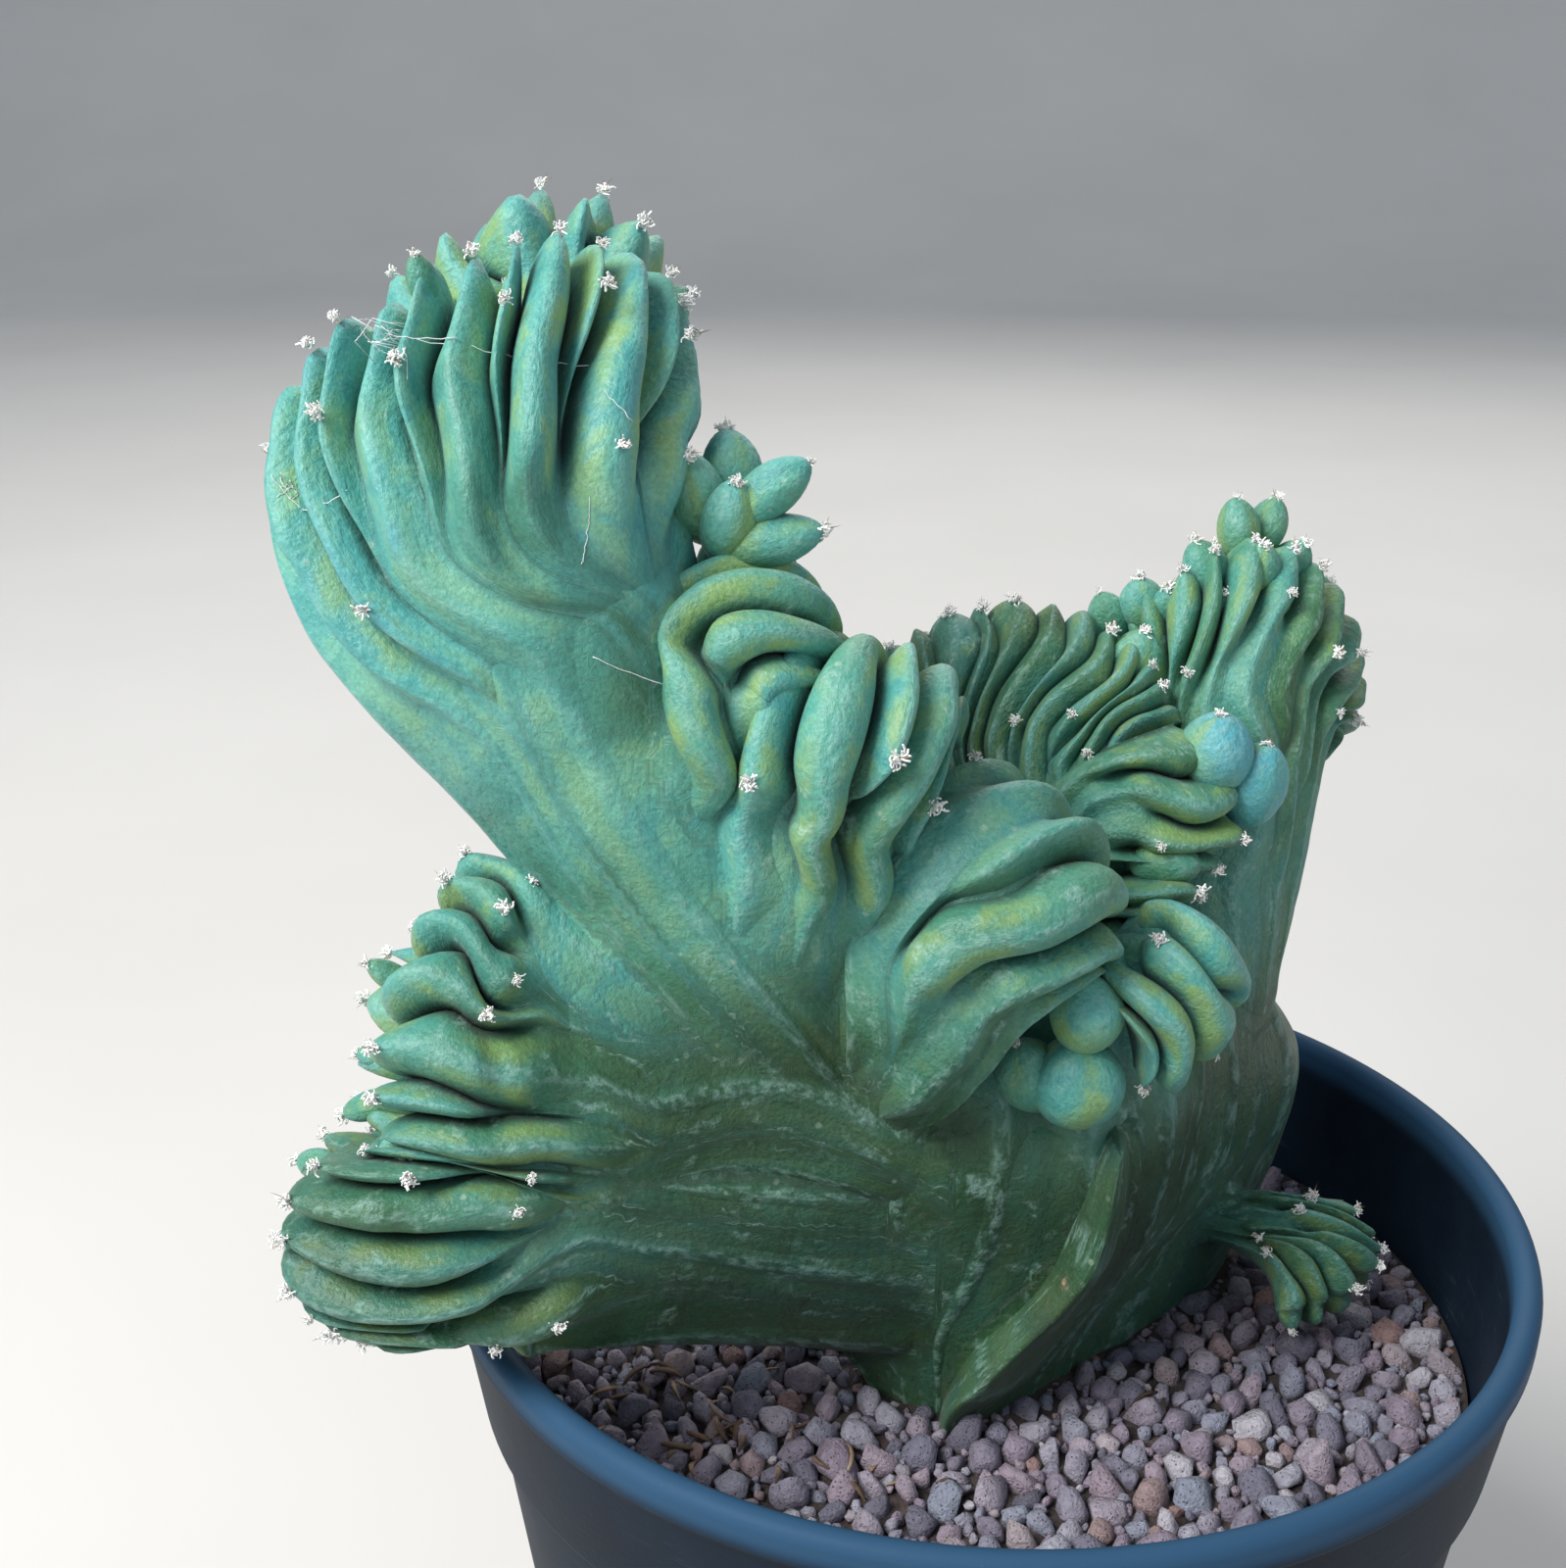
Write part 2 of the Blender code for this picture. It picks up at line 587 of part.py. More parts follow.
def skin(fan, rib, x, v, angle):
    """A point of the fan's skin and the way it faces.

    rib: which rib; x: -1 and 1 in its creases, 0 on its crest; angle: 0 on the front face,
    90 degrees on the growing edge, 180 degrees on the back.
    """
    back = smooth_step(0.35 * math.pi, 0.65 * math.pi, angle)
    lines = creases(fan, v, back)
    left = np.take_along_axis(lines, rib[..., None], -1)[..., 0]
    right = np.take_along_axis(lines, rib[..., None] + 1, -1)[..., 0]
    u = left + (right - left) * (x + 1) / 2
    step = 0.003
    point = middle(fan, u, v)
    across = middle(fan, u + step, v) - middle(fan, u - step, v)
    growth = middle(fan, u, v + step) - middle(fan, u, v - step)
    normal = np.cross(across, growth)
    normal /= np.linalg.norm(normal, axis=-1, keepdims=True) + 1e-12
    growth /= np.linalg.norm(growth, axis=-1, keepdims=True) + 1e-12
    half = curve_weights(len(fan.half), v) @ np.array(fan.half, float)
    closing = np.sqrt(np.clip(1 - np.abs(2 * u - 1) ** fan.side_power, 0, 1))
    outward = np.cos(angle)[..., None] * normal + np.sin(angle)[..., None] * growth

    size = np.abs(x)
    fingers = finger_share(fan, np.arange(len(fan.starts)), v[..., None], 1.0)
    between = np.maximum(fingers[..., 1:], fingers[..., :-1])
    beside = np.concatenate([fingers[..., :1], between, fingers[..., -1:]], axis=-1)
    ridges = fan.ridge * smooth_step(0.0, 0.3, v)
    depth = ridges[..., None] + fan.relief * fan.depths * beside
    left_deep = np.take_along_axis(depth, rib[..., None], -1)[..., 0]
    right_deep = np.take_along_axis(depth, rib[..., None] + 1, -1)[..., 0]
    crease = np.where(x < 0, left_deep, right_deep)
    own = finger_share(fan, rib, v, size)
    sharp = 1 - (1 - size) ** RIDGE_SHARPNESS
    plump = 1 - (1 - size ** ROUNDING[0]) ** ROUNDING[1]
    slope = sharp * (1 - own) + plump * own
    risen = rib_risen(fan, rib, v)
    swell = 1 + SWELLING * np.sin(2 * math.pi * (1.3 * v + fan.phases[rib]))
    peak = fan.lift * swell * own - (1 - risen) * (left_deep + right_deep) / 2
    past = v - fan.steps[rib]
    peak += STEP_HEIGHT * np.tanh(past / STEP_SLOPE) * np.exp(-np.abs(past) / STEP_REACH)
    height = peak * (1 - slope) - crease * slope
    teeth = fan.tooth_front * bump(angle, fan.front_turn) + fan.tooth_back * bump(angle, BACK_TOOTH)
    height += teeth * (1 - size) ** TOOTH_SHARPNESS * risen
    height -= fan.groove * bump(angle, 90)
    side = np.cos(angle)[..., None] * normal
    point = point + side * (half * closing)[..., None] + outward * (height * closing)[..., None]
    return point, outward


def bump(angle, degrees):
    """1 at an angle given in degrees, falling off on both sides of it."""
    return np.exp(-(((np.degrees(angle) - degrees) / TOOTH_WIDTH) ** 2))


def rib_risen(fan, rib, v):
    """0 where a rib is still hidden in the crease between its neighbours, 1 where it stands out."""
    start = np.array(fan.starts)[rib]
    risen = np.where(start > 0, smooth_step(start + RISING[0], start + RISING[1], v), 1)
    return risen * (1 - smooth_step(fan.ends[rib] + CLOSING[0], fan.ends[rib], v))


def finger_share(fan, rib, v, size):
    """0 on the smooth lower part of a rib, 1 on its plump finger beyond the tongue."""
    tip = fan.tongues[rib] + TONGUE_POINT * size**2
    full = fan.fullness[rib] * rib_risen(fan, rib, v)
    return full * smooth_step(tip + TONGUE[0], tip + TONGUE[1], v)


def fan_grid(fan, stations, rows, cap_angles):
    """Rib, place in the rib, share of the growth and angle of every point of a fan's skin."""
    count = len(fan.starts)
    rib = np.repeat(np.arange(count), len(stations))
    x = np.tile(np.array(stations), count)
    rib = np.append(rib, count - 1)
    x = np.append(x, 1.0)
    turn = np.radians(np.array(cap_angles, float))
    face = np.linspace(0, 1 - fan.cap, rows, endpoint=False)
    v = np.concatenate([face, 1 - fan.cap + fan.cap * np.sin(turn), face[::-1]])
    angle = np.concatenate([np.zeros(rows), turn, np.full(rows, math.pi)])
    shape = (len(v), len(x))
    return (
        np.broadcast_to(rib, shape),
        np.broadcast_to(x, shape),
        np.broadcast_to(v[:, None], shape),
        np.broadcast_to(angle[:, None], shape),
    )


def bare_fan(fan):
    """The lobe without its ribs: level with their crests at its root, and deep below its fingers."""
    place = np.linspace(0, 1, FLESH_ROWS)
    full = curve_weights(len(fan.half), place) @ np.array(fan.half, float)
    depth = (fan.rise + fan.relief + FLESH_DEPTH) * smooth_step(*fan.emerge, place)
    half = np.maximum(full + fan.rise - depth, THINNEST)
    return Fan(
        fan.name,
        fan.cage,
        half,
        [0.0],
        0.0,
        cap=fan.cap,
        side_power=fan.side_power,
        tongues=[2.0],
        tooth_front=0.0,
        tooth_back=0.0,
        groove=0.0,
        lift=0.0,
        ridge=0.0,
        sway=0.0,
    )


def closed_fan(name, points):
    """A closed mesh from rows of points: its sides close to a seam and its root to a strip."""
    rows, columns, _ = points.shape
    bm = bmesh.new()
    made = [[bm.verts.new(point * MM) for point in row] for row in points]
    for i in range(rows // 2):
        for j in (0, columns - 1):
            bm.verts.remove(made[rows - 1 - i][j])
            made[rows - 1 - i][j] = made[i][j]
    for i in range(rows):
        above = made[(i + 1) % rows]
        for j in range(columns - 1):
            corners = dict.fromkeys((made[i][j], made[i][j + 1], above[j + 1], above[j]))
            bm.faces.new(list(corners))
    bmesh.ops.recalc_face_normals(bm, faces=bm.faces)
    bmesh.ops.triangulate(bm, faces=bm.faces)
    mesh = bpy.data.meshes.new(name)
    bm.to_mesh(mesh)
    bm.free()
    return mesh


def turned_towards(direction):
    """A rotation that brings +Z to the direction."""
    return Vector(direction).to_track_quat("Z", "Y").to_matrix().to_4x4()


def bulb_mesh(centre, radius, length, direction):
    """An egg-shaped bulb with few sides."""
    place = Matrix.Translation(Vector(centre) * MM) @ turned_towards(direction)
    size = Matrix.Diagonal((radius * MM, radius * MM, length * MM, 1.0))
    bm = bmesh.new()
    bmesh.ops.create_uvsphere(
        bm, u_segments=BULB_SIDES, v_segments=BULB_RINGS, radius=1.0, matrix=place @ size
    )
    mesh = bpy.data.meshes.new("bulb")
    bm.to_mesh(mesh)
    bm.free()
    return mesh


def needle_mesh(point, direction, length, radius, sink):
    """A three-sided spine with its root sunk in the skin."""
    place = Matrix.Translation(Vector(point) * MM) @ turned_towards(direction)
    middle_height = Matrix.Translation((0, 0, (length - sink) / 2 * MM))
    bm = bmesh.new()
    bmesh.ops.create_cone(
        bm,
        cap_ends=True,
        segments=3,
        radius1=radius * MM,
        radius2=0,
        depth=(length + sink) * MM,
        matrix=place @ middle_height,
    )
    bmesh.ops.triangulate(bm, faces=bm.faces)
    mesh = bpy.data.meshes.new("needle")
    bm.to_mesh(mesh)
    bm.free()
    return mesh


def areoles(fan):
    """Where spines grow: on the teeth of the growing edge, and where a finger's tongue begins."""
    draw = random.Random(fan.seed + SPINE_SEED)
    places = []
    for rib, tongue in enumerate(fan.tongues):
        for turn in (fan.front_turn, BACK_TOOTH):
            if draw.random() < EDGE_SPINES:
                v = 1 - fan.cap + fan.cap * math.sin(math.radians(turn))
                places.append((rib, 0.0, v, math.radians(turn)))
        for turn in (0, 180):
            if tongue < 1 and draw.random() < TONGUE_SPINES:
                places.append((rib, 0.0, tongue + TONGUE[1], math.radians(turn)))
    rib, x, v, angle = (np.array(column) for column in zip(*places))
    points, outward = skin(fan, rib.astype(int), x, v, angle)
    return list(zip(points, outward))


def material(name, colour, roughness, metallic=0.0):
    """A plain Principled material for one sub-part."""
    made = bpy.data.materials.new(name)
    made.use_nodes = True
    shader = made.node_tree.nodes["Principled BSDF"]
    shader.inputs["Base Color"].default_value = (*colour, 1.0)
    shader.inputs["Roughness"].default_value = roughness
    shader.inputs["Metallic"].default_value = metallic
    made.diffuse_color = (*colour, 1.0)
    return made


def new_object(name, mesh, collection, finish=None):
    made = bpy.data.objects.new(name, mesh)
    collection.objects.link(made)
    if finish:
        mesh.materials.clear()
        mesh.materials.append(finish)
    return made


def apply_modifiers(item):
    """The object's evaluated mesh becomes its own, and its modifiers go."""
    graph = bpy.context.evaluated_depsgraph_get()
    mesh = bpy.data.meshes.new_from_object(item.evaluated_get(graph))
    item.modifiers.clear()
    item.data = mesh


def keep_largest(mesh):
    """Drops loose scraps and sealed hollows: only the body with the most faces stays."""
    bm = bmesh.new()
    bm.from_mesh(mesh)
    bmesh.ops.remove_doubles(bm, verts=bm.verts, dist=1e-6)
    bmesh.ops.dissolve_degenerate(bm, edges=bm.edges, dist=1e-6)
    left = set(bm.faces)
    bodies = []
    while left:
        body = {left.pop()}
        front = list(body)
        while front:
            for edge in front.pop().edges:
                for face in edge.link_faces:
                    if face in left:
                        left.remove(face)
                        body.add(face)
                        front.append(face)
        bodies.append(body)
    largest = max(bodies, key=len)
    spare = [face for body in bodies if body is not largest for face in body]
    bmesh.ops.delete(bm, geom=spare, context="FACES")
    bmesh.ops.triangulate(bm, faces=bm.faces)
    bm.to_mesh(mesh)
    bm.free()


def join_all(body, others):
    """One Boolean union of a body with every object of a collection, applied."""
    union = body.modifiers.new("grown together", "BOOLEAN")
    union.operation = "UNION"
    union.operand_type = "COLLECTION"
    union.collection = others
    union.solver = "MANIFOLD"
    apply_modifiers(body)
    for item in list(others.objects):
        bpy.data.objects.remove(item, do_unlink=True)
    bpy.data.collections.remove(others)


def facet(body, count):
    """Thins the body's skin to about so many triangles."""
    triangles = sum(len(face.vertices) - 2 for face in body.data.polygons)
    thin = body.modifiers.new("facets", "DECIMATE")
    thin.ratio = min(1.0, count / triangles)
    thin.use_collapse_triangulate = True
    apply_modifiers(body)


def grown_skin(name, meshes, collection, grain):
    """Overlapping closed shapes melted into one closed skin."""
    bm = bmesh.new()
    for mesh in meshes:
        bm.from_mesh(mesh)
        bpy.data.meshes.remove(mesh)
    mesh = bpy.data.meshes.new(name)
    bm.to_mesh(mesh)
    bm.free()
    body = new_object(name, mesh, collection)
    melt = body.modifiers.new("one skin", "REMESH")
    melt.mode = "VOXEL"
    melt.voxel_size = grain
    apply_modifiers(body)
    return body


def fan_mesh(fan):
    points, _ = skin(fan, *fan_grid(fan, RIB_STATIONS, GROWTH_ROWS, CAP_ANGLES))
    return closed_fan(fan.name, points)


def flesh_of(fan):
    bare = bare_fan(fan)
    rib, x, v, angle = fan_grid(bare, FLESH_STATIONS, GROWTH_ROWS, CAP_ANGLES)
    points, _ = skin(bare, rib, x, FLESH_SHARE * v, angle)
    return closed_fan(fan.name, points)


def flesh_mesh(fans, collection):
    """The smooth flesh of some lobes, rounded where they meet."""
    body = grown_skin("flesh", [flesh_of(fan) for fan in fans], collection, FLESH_GRAIN)
    rounded = body.modifiers.new("rounded", "SMOOTH")
    rounded.factor = 0.5
    rounded.iterations = FLESH_ROUNDS
    apply_modifiers(body)
    mesh = body.data
    bpy.data.objects.remove(body, do_unlink=True)
    return mesh


def make_cactus(parts):
    """The whole plant as one body: fans, stem and bulbs in one skin, with its spines."""
    shapes = [fan_mesh(fan) for fan in FANS] + [bulb_mesh(*bulb) for bulb in BULBS]
    shapes.append(flesh_mesh(FANS, parts))
    body = grown_skin("cactus", shapes, parts, SKIN_GRAIN)
    facet(body, SKIN_FACETS)
    keep_largest(body.data)
    spines = bpy.data.collections.new("spines")
    bpy.context.scene.collection.children.link(spines)
    draw = random.Random(SPINE_SEED)
    for fan in FANS:
        if fan in (STEM, KEEL):
            continue
        for point, outward in areoles(fan):
            lean = np.array([draw.uniform(-SPINE_LEAN, SPINE_LEAN) for _ in range(3)])
            length = SPINE_LENGTH * draw.uniform(0.8, 1.2)
            needle = needle_mesh(point, outward + lean, length, SPINE_RADIUS, SPINE_SINK)
            new_object("spine", needle, spines)
    join_all(body, spines)
    keep_largest(body.data)
    body.data.materials.clear()
    body.data.materials.append(material("cactus_skin", (0.16, 0.36, 0.24), 0.5))
    body.data.shade_smooth()
    body.data.set_sharp_from_angle(angle=math.radians(SHARP_ANGLE))
    return body


def outer_radius(height):
    """The pot's outer radius at a height, below its collar."""
    return BASE_RADIUS + (RIM_RADIUS - LIP_WIDTH / 2 - BASE_RADIUS) * height / POT_HEIGHT


def turned(name, profile, collection, finish=None):
    """A turned body from (radius, height) points that run down its outer side."""
    mesh = bpy.data.meshes.new(name)
    steps = [(k, k + 1) for k in range(len(profile) - 1)]
    mesh.from_pydata([(r, 0, z) for r, z in profile], steps, [])
    made = new_object(name, mesh, collection, finish)
    screw = made.modifiers.new("turned", "SCREW")
    screw.steps = POT_STEPS
    screw.render_steps = POT_STEPS
    screw.use_merge_vertices = True
    screw.merge_threshold = 1e-5
    screw.use_normal_calculate = False
    return made


def lip_point(degrees):
    """A point of the lip's rolled top, by its turn from straight up."""
    roll = LIP_WIDTH / 2
    turn = math.radians(degrees)
    return (RIM_RADIUS - roll + roll * math.sin(turn), POT_HEIGHT - roll + roll * math.cos(turn))


def make_pot(parts, drains):
    """A turned pot: floor, tapered wall, collar, rolled lip and a ring of drainage holes."""
    collar_foot = POT_HEIGHT - COLLAR_HEIGHT
    lip_foot = POT_HEIGHT - LIP_DROP
    inner_foot = outer_radius(FLOOR) - WALL
    inner_top = outer_radius(POT_HEIGHT) - WALL
    profile = [
        (0, FLOOR),
        (inner_foot - CORNER, FLOOR),
        (inner_foot, FLOOR + CORNER),
        (inner_top - 0.3 * CORNER, POT_HEIGHT - LIP_WIDTH),
        *[lip_point(degrees) for degrees in (-80, -40, 0, 40, 80)],
        (RIM_RADIUS - 0.1 * CORNER, lip_foot),
        (outer_radius(lip_foot) + COLLAR_STEP, lip_foot - 0.6 * CORNER),
        (outer_radius(collar_foot) + COLLAR_STEP, collar_foot + 0.8 * CORNER),
        (outer_radius(collar_foot), collar_foot),
        (outer_radius(FOOT_BEVEL), FOOT_BEVEL),
        (BASE_RADIUS - FOOT_BEVEL, 0),
        (0, 0),
    ]
    pot = turned("pot", profile, parts, material("black_plastic", (0.03, 0.04, 0.05), 0.45))
    for hole in range(DRAIN_COUNT):
        turn = 2 * math.pi * (hole + 0.5) / DRAIN_COUNT
        bm = bmesh.new()
        bmesh.ops.create_cone(
            bm,
            cap_ends=True,
            segments=DRAIN_SIDES,
            radius1=DRAIN_RADIUS,
            radius2=DRAIN_RADIUS,
            depth=DRAIN_DEPTH,
        )
        mesh = bpy.data.meshes.new("drain")
        bm.to_mesh(mesh)
        bm.free()
        drain = new_object(f"drain_{hole + 1}", mesh, drains)
        drain.location = (DRAIN_RING * math.cos(turn), DRAIN_RING * math.sin(turn), 0)
    cut = pot.modifiers.new("drains", "BOOLEAN")
    cut.operation = "DIFFERENCE"
    cut.operand_type = "COLLECTION"
    cut.collection = drains
    pot.data.shade_smooth()
    return pot


def stone_bed():
    """A slab whose top is a lattice of six-sided stones, each raised and tilted by its own draw."""
    draw = random.Random(STONE_SEED)
    reach = int(RIM_RADIUS / STONE_PITCH) + 2
    row_step = STONE_PITCH * math.sqrt(3) / 2
    bm = bmesh.new()
    radius = STONE_PITCH / math.sqrt(3)
    corners = {}

    def corner(centre, k):
        turn = math.radians(60 * k + 30)
        at = (centre[0] + radius * math.cos(turn), centre[1] + radius * math.sin(turn))
        key = (round(at[0] * 1e5), round(at[1] * 1e5))
        if key not in corners:
            shift = [draw.uniform(-STONE_SHIFT, STONE_SHIFT) for _ in range(2)]
            corners[key] = bm.verts.new((at[0] + shift[0], at[1] + shift[1], bed_height(*at)))
        return corners[key]

    for row in range(-reach, reach + 1):
        for column in range(-reach, reach + 1):
            centre = ((column + 0.5 * (row % 2)) * STONE_PITCH, row * row_step)
            if math.hypot(*centre) > RIM_RADIUS:
                continue
            ring = [corner(centre, k) for k in range(6)]
            heart = sum((vert.co for vert in ring), Vector()) / 6
            share = draw.uniform(*STONE_TOP)
            rise = draw.uniform(*STONE_RISE)
            top = []
            for vert in ring:
                place = heart.lerp(vert.co, share)
                place.z += rise + draw.uniform(-STONE_TILT, STONE_TILT)
                top.append(bm.verts.new(place))
            for k in range(6):
                after = (k + 1) % 6
                bm.faces.new((ring[k], ring[after], top[after], top[k]))
            bm.faces.new(top)
    rim = [edge for edge in bm.edges if edge.is_boundary]
    skirt = bmesh.ops.extrude_edge_only(bm, edges=rim)["geom"]
    for vert in (item for item in skirt if isinstance(item, bmesh.types.BMVert)):
        vert.co.z = BED_UNDERSIDE
    base = [edge for edge in bm.edges if edge.is_boundary]
    bmesh.ops.contextual_create(bm, geom=base)
    bmesh.ops.recalc_face_normals(bm, faces=bm.faces)
    bmesh.ops.triangulate(bm, faces=bm.faces)
    mesh = bpy.data.meshes.new("stones")
    bm.to_mesh(mesh)
    bm.free()
    return mesh


def bed_height(x, y):
    """The grit lies a little higher round the stem."""
    return GRIT_TOP + GRIT_MOUND * math.cos(math.pi / 2 * min(1.0, math.hypot(x, y) / RIM_RADIUS))


def make_grit(parts, cutters):
    """The grit filling the pot, with stones on top and a plain hole for the stem."""
    grit = new_object("grit", stone_bed(), parts, material("grit_stone", (0.32, 0.29, 0.31), 0.9))
    low = FLOOR + FIT_GAP
    high = FILL_HEIGHT
    shape = turned(
        "pot_inside",
        [
            (0, high),
            (outer_radius(high) - WALL - FIT_GAP - 0.3 * CORNER, high),
            (outer_radius(low) - WALL - FIT_GAP - CORNER, low),
            (0, low),
        ],
        cutters,
    )
    inside = grit.modifiers.new("fits the pot", "BOOLEAN")
    inside.operation = "INTERSECT"
    inside.object = shape
    core = [fan_mesh(STEM), fan_mesh(KEEL), flesh_mesh([STEM, KEEL], cutters)]
    hole = grown_skin("stem_hole", core, cutters, SKIN_GRAIN)
    room = hole.modifiers.new("room", "DISPLACE")
    room.mid_level = 0
    room.strength = HOLE_GAP
    apply_modifiers(hole)
    facet(hole, HOLE_FACETS)
    cut = grit.modifiers.new("stem hole", "BOOLEAN")
    cut.operation = "DIFFERENCE"
    cut.object = hole
    return grit


def main():
    for item in list(bpy.data.objects):
        bpy.data.objects.remove(item, do_unlink=True)
    parts = bpy.data.collections.new("potted_crested_cactus")
    drains = bpy.data.collections.new("drain_cutters")
    cutters = bpy.data.collections.new("cutters")
    for collection in (parts, drains, cutters):
        bpy.context.scene.collection.children.link(collection)
    make_cactus(parts)
    make_grit(parts, cutters)
    make_pot(parts, drains)
    for cutter in list(cutters.objects) + list(drains.objects):
        cutter.hide_render = True
        cutter.display_type = "WIRE"


main()
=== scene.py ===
"""The looks of a potted crested blue candle cactus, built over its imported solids.

Every lobe is drawn as its own closed skin, with its ribs, fingers and growing edge. Wool, spines
and stones are set out by Geometry Nodes. Millimetres in the cages, metres in the meshes.
"""

import json
import math
import random

import bmesh
import bpy
import numpy as np
from mathutils import Matrix, Vector
from mathutils.bvhtree import BVHTree
from mathutils.kdtree import KDTree

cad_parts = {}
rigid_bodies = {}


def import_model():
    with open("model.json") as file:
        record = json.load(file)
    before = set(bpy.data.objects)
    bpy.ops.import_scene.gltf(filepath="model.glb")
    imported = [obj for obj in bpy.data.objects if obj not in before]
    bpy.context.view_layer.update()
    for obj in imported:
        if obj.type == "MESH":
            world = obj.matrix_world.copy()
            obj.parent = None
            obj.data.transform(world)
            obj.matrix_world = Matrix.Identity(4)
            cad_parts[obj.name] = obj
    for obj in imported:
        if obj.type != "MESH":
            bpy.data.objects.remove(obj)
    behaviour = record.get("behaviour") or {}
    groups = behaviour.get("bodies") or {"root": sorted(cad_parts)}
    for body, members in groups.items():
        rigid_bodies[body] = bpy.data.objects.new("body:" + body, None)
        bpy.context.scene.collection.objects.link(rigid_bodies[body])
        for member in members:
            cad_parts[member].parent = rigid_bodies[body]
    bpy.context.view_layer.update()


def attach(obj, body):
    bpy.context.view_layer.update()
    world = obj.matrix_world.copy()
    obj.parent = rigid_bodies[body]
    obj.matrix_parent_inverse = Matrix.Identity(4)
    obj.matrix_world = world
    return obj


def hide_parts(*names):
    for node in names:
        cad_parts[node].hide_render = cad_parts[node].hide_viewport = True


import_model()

MM = 0.001

# Camera: at the photograph's place and angle
CAMERA_PLACE = (-0.01981, -0.17634, 0.19919)
CAMERA_PITCH = 20.6
SENSOR_WIDTH = 36.0
FOCAL_PIXELS = 2100
PICTURE_WIDTH = 1598

# Pot, in metres: its walls, its collar and lip, where the lip's painted sky reflection begins
# and ends, its drains
POT_HEIGHT = 0.090
RIM_RADIUS = 0.05248
BASE_RADIUS = 0.0385
WALL = 0.0010
FLOOR = 0.0014
COLLAR_HEIGHT = 0.017
COLLAR_STEP = 0.0011
LIP_WIDTH = 0.0026
LIP_DROP = 0.0034
FOOT_BEVEL = 0.0012
INNER_BEND = 0.0012
OUTER_BEND = 0.0006
LIP_REFLECTION_BAND = (0.0862, 0.0884)
DRAIN_COUNT = 6
DRAIN_RADIUS = 0.0040
DRAIN_RING = 0.0280
POT_STEPS = 168

# Grit, in metres: its level and its mound, and the bed of fines under the stones
GRIT_TOP = 0.0742
GRIT_MOUND = 0.0012
BED_GAP = 0.0004
BED_DROP = 0.9 * MM
BED_RINGS = 44
BED_SIDES = 132

# Where a rib is stepped: how abrupt the step is, how far it reaches and how high it is
STEP_SLOPE = 0.014
STEP_REACH = 0.09
STEP_HEIGHT = 0.7

# The smooth flesh under the ribs: how far it lies below the fingers, how much of a lobe it
# fills, and how it is drawn and rounded where lobes meet
FLESH_DEPTH = 0.9
FLESH_SHARE = 0.86
FLESH_ROWS = 17
THINNEST = 0.6
FLESH_STATIONS = tuple(k / 12 - 1 for k in range(24))
FLESH_GRAIN = 0.0008
FLESH_ROUNDS = 14
FLESH_NEIGHBOURS = 5

# The height of the stem's foot, in millimetres
STEM_FOOT = 56.0

# How finely the skin is drawn, and the small steps by which the way it faces is found
RIB_STATIONS = (
    -1.0, -0.975, -0.93, -0.86, -0.74, -0.58, -0.36, -0.12,
    0.12, 0.36, 0.58, 0.74, 0.86, 0.93, 0.975,
)
GROWTH_ROWS = 60
CAP_ANGLES = tuple(range(0, 181, 6))
NUDGE = 0.003
TINY = 1e-12

# Ribs: the width that a hidden rib keeps, how it opens after its start, how many times its
# creases wave, how they deepen above the root, and where the back's ribs follow the front's
HIDDEN_WIDTH = 0.12
OPENING = (-0.05, 0.09)
WANDER_WAVES = 1.7
SWAY_WAVES = 1.4
RIDGE_START = (0.0, 0.3)
# DEEPEST_CREASE: the crease depth, in millimetres, at which the painted crease shade is full
DEEPEST_CREASE = 2.2
BACK_TURN = (0.35 * math.pi, 0.65 * math.pi)

# A finger: how it rises out of its crease, how its tongue lifts, and the shape across it
RISING = (-0.03, 0.06)
TONGUE = (-0.02, 0.08)
TONGUE_POINT = 0.05
ROUNDING = (2.4, 0.62)
RIDGE_SHARPNESS = 1.6
SWELLING = 0.25
SWELLING_WAVES = 1.3

# The growing edge: a tooth before it and one behind it with a groove between them, in degrees
FRONT_TOOTH = 62
BACK_TOOTH = 118
TOOTH_WIDTH = 17
TOOTH_SHARPNESS = 1.3


# What a lobe has unless it says otherwise, heights and depths in millimetres
FAN_DEFAULTS = {
    "seed": 1,
    # The share of its growth that its rounded edge takes, and how squarely its sides close
    "cap": 0.17,
    "side_power": 5,
    # Its edge: how high the teeth are, where the front one stands, how deep the groove is
    "tooth_front": 0.7,
    "tooth_back": 1.2,
    "front_turn": FRONT_TOOTH,
    "groove": 1.8,
    # Its ribs: how high a finger stands, how deep the creases are low down, how they wave
    "lift": 0.9,
    "ridge": 0.9,
    "sway": 0.02,
    "wander": 0.2,
    "uneven": 0.35,
    "tongue_range": (0.35, 0.65),
    # Its flesh: how it stands over the middle sheet, and where its fingers come out of it
    "rise": -0.2,
    "emerge": (0.2, 0.55),
}
# A share of the growth that no rib reaches: no tongue or no step
NEVER = 2.0
# A lobe without teeth, groove and fingers
PLAIN = {"tooth_front": 0.0, "tooth_back": 0.0, "groove": 0.0, "lift": 0.0, "sway": 0.0}
# The crowded edge of the two low lobes
LOW_EDGE = {
    "tooth_front": 1.3, "tooth_back": 1.8, "front_turn": 48, "groove": 2.2, "lift": 1.3,
    "ridge": 1.0, "wander": 0.4, "rise": -0.5, "emerge": (0.54, 0.72),
}


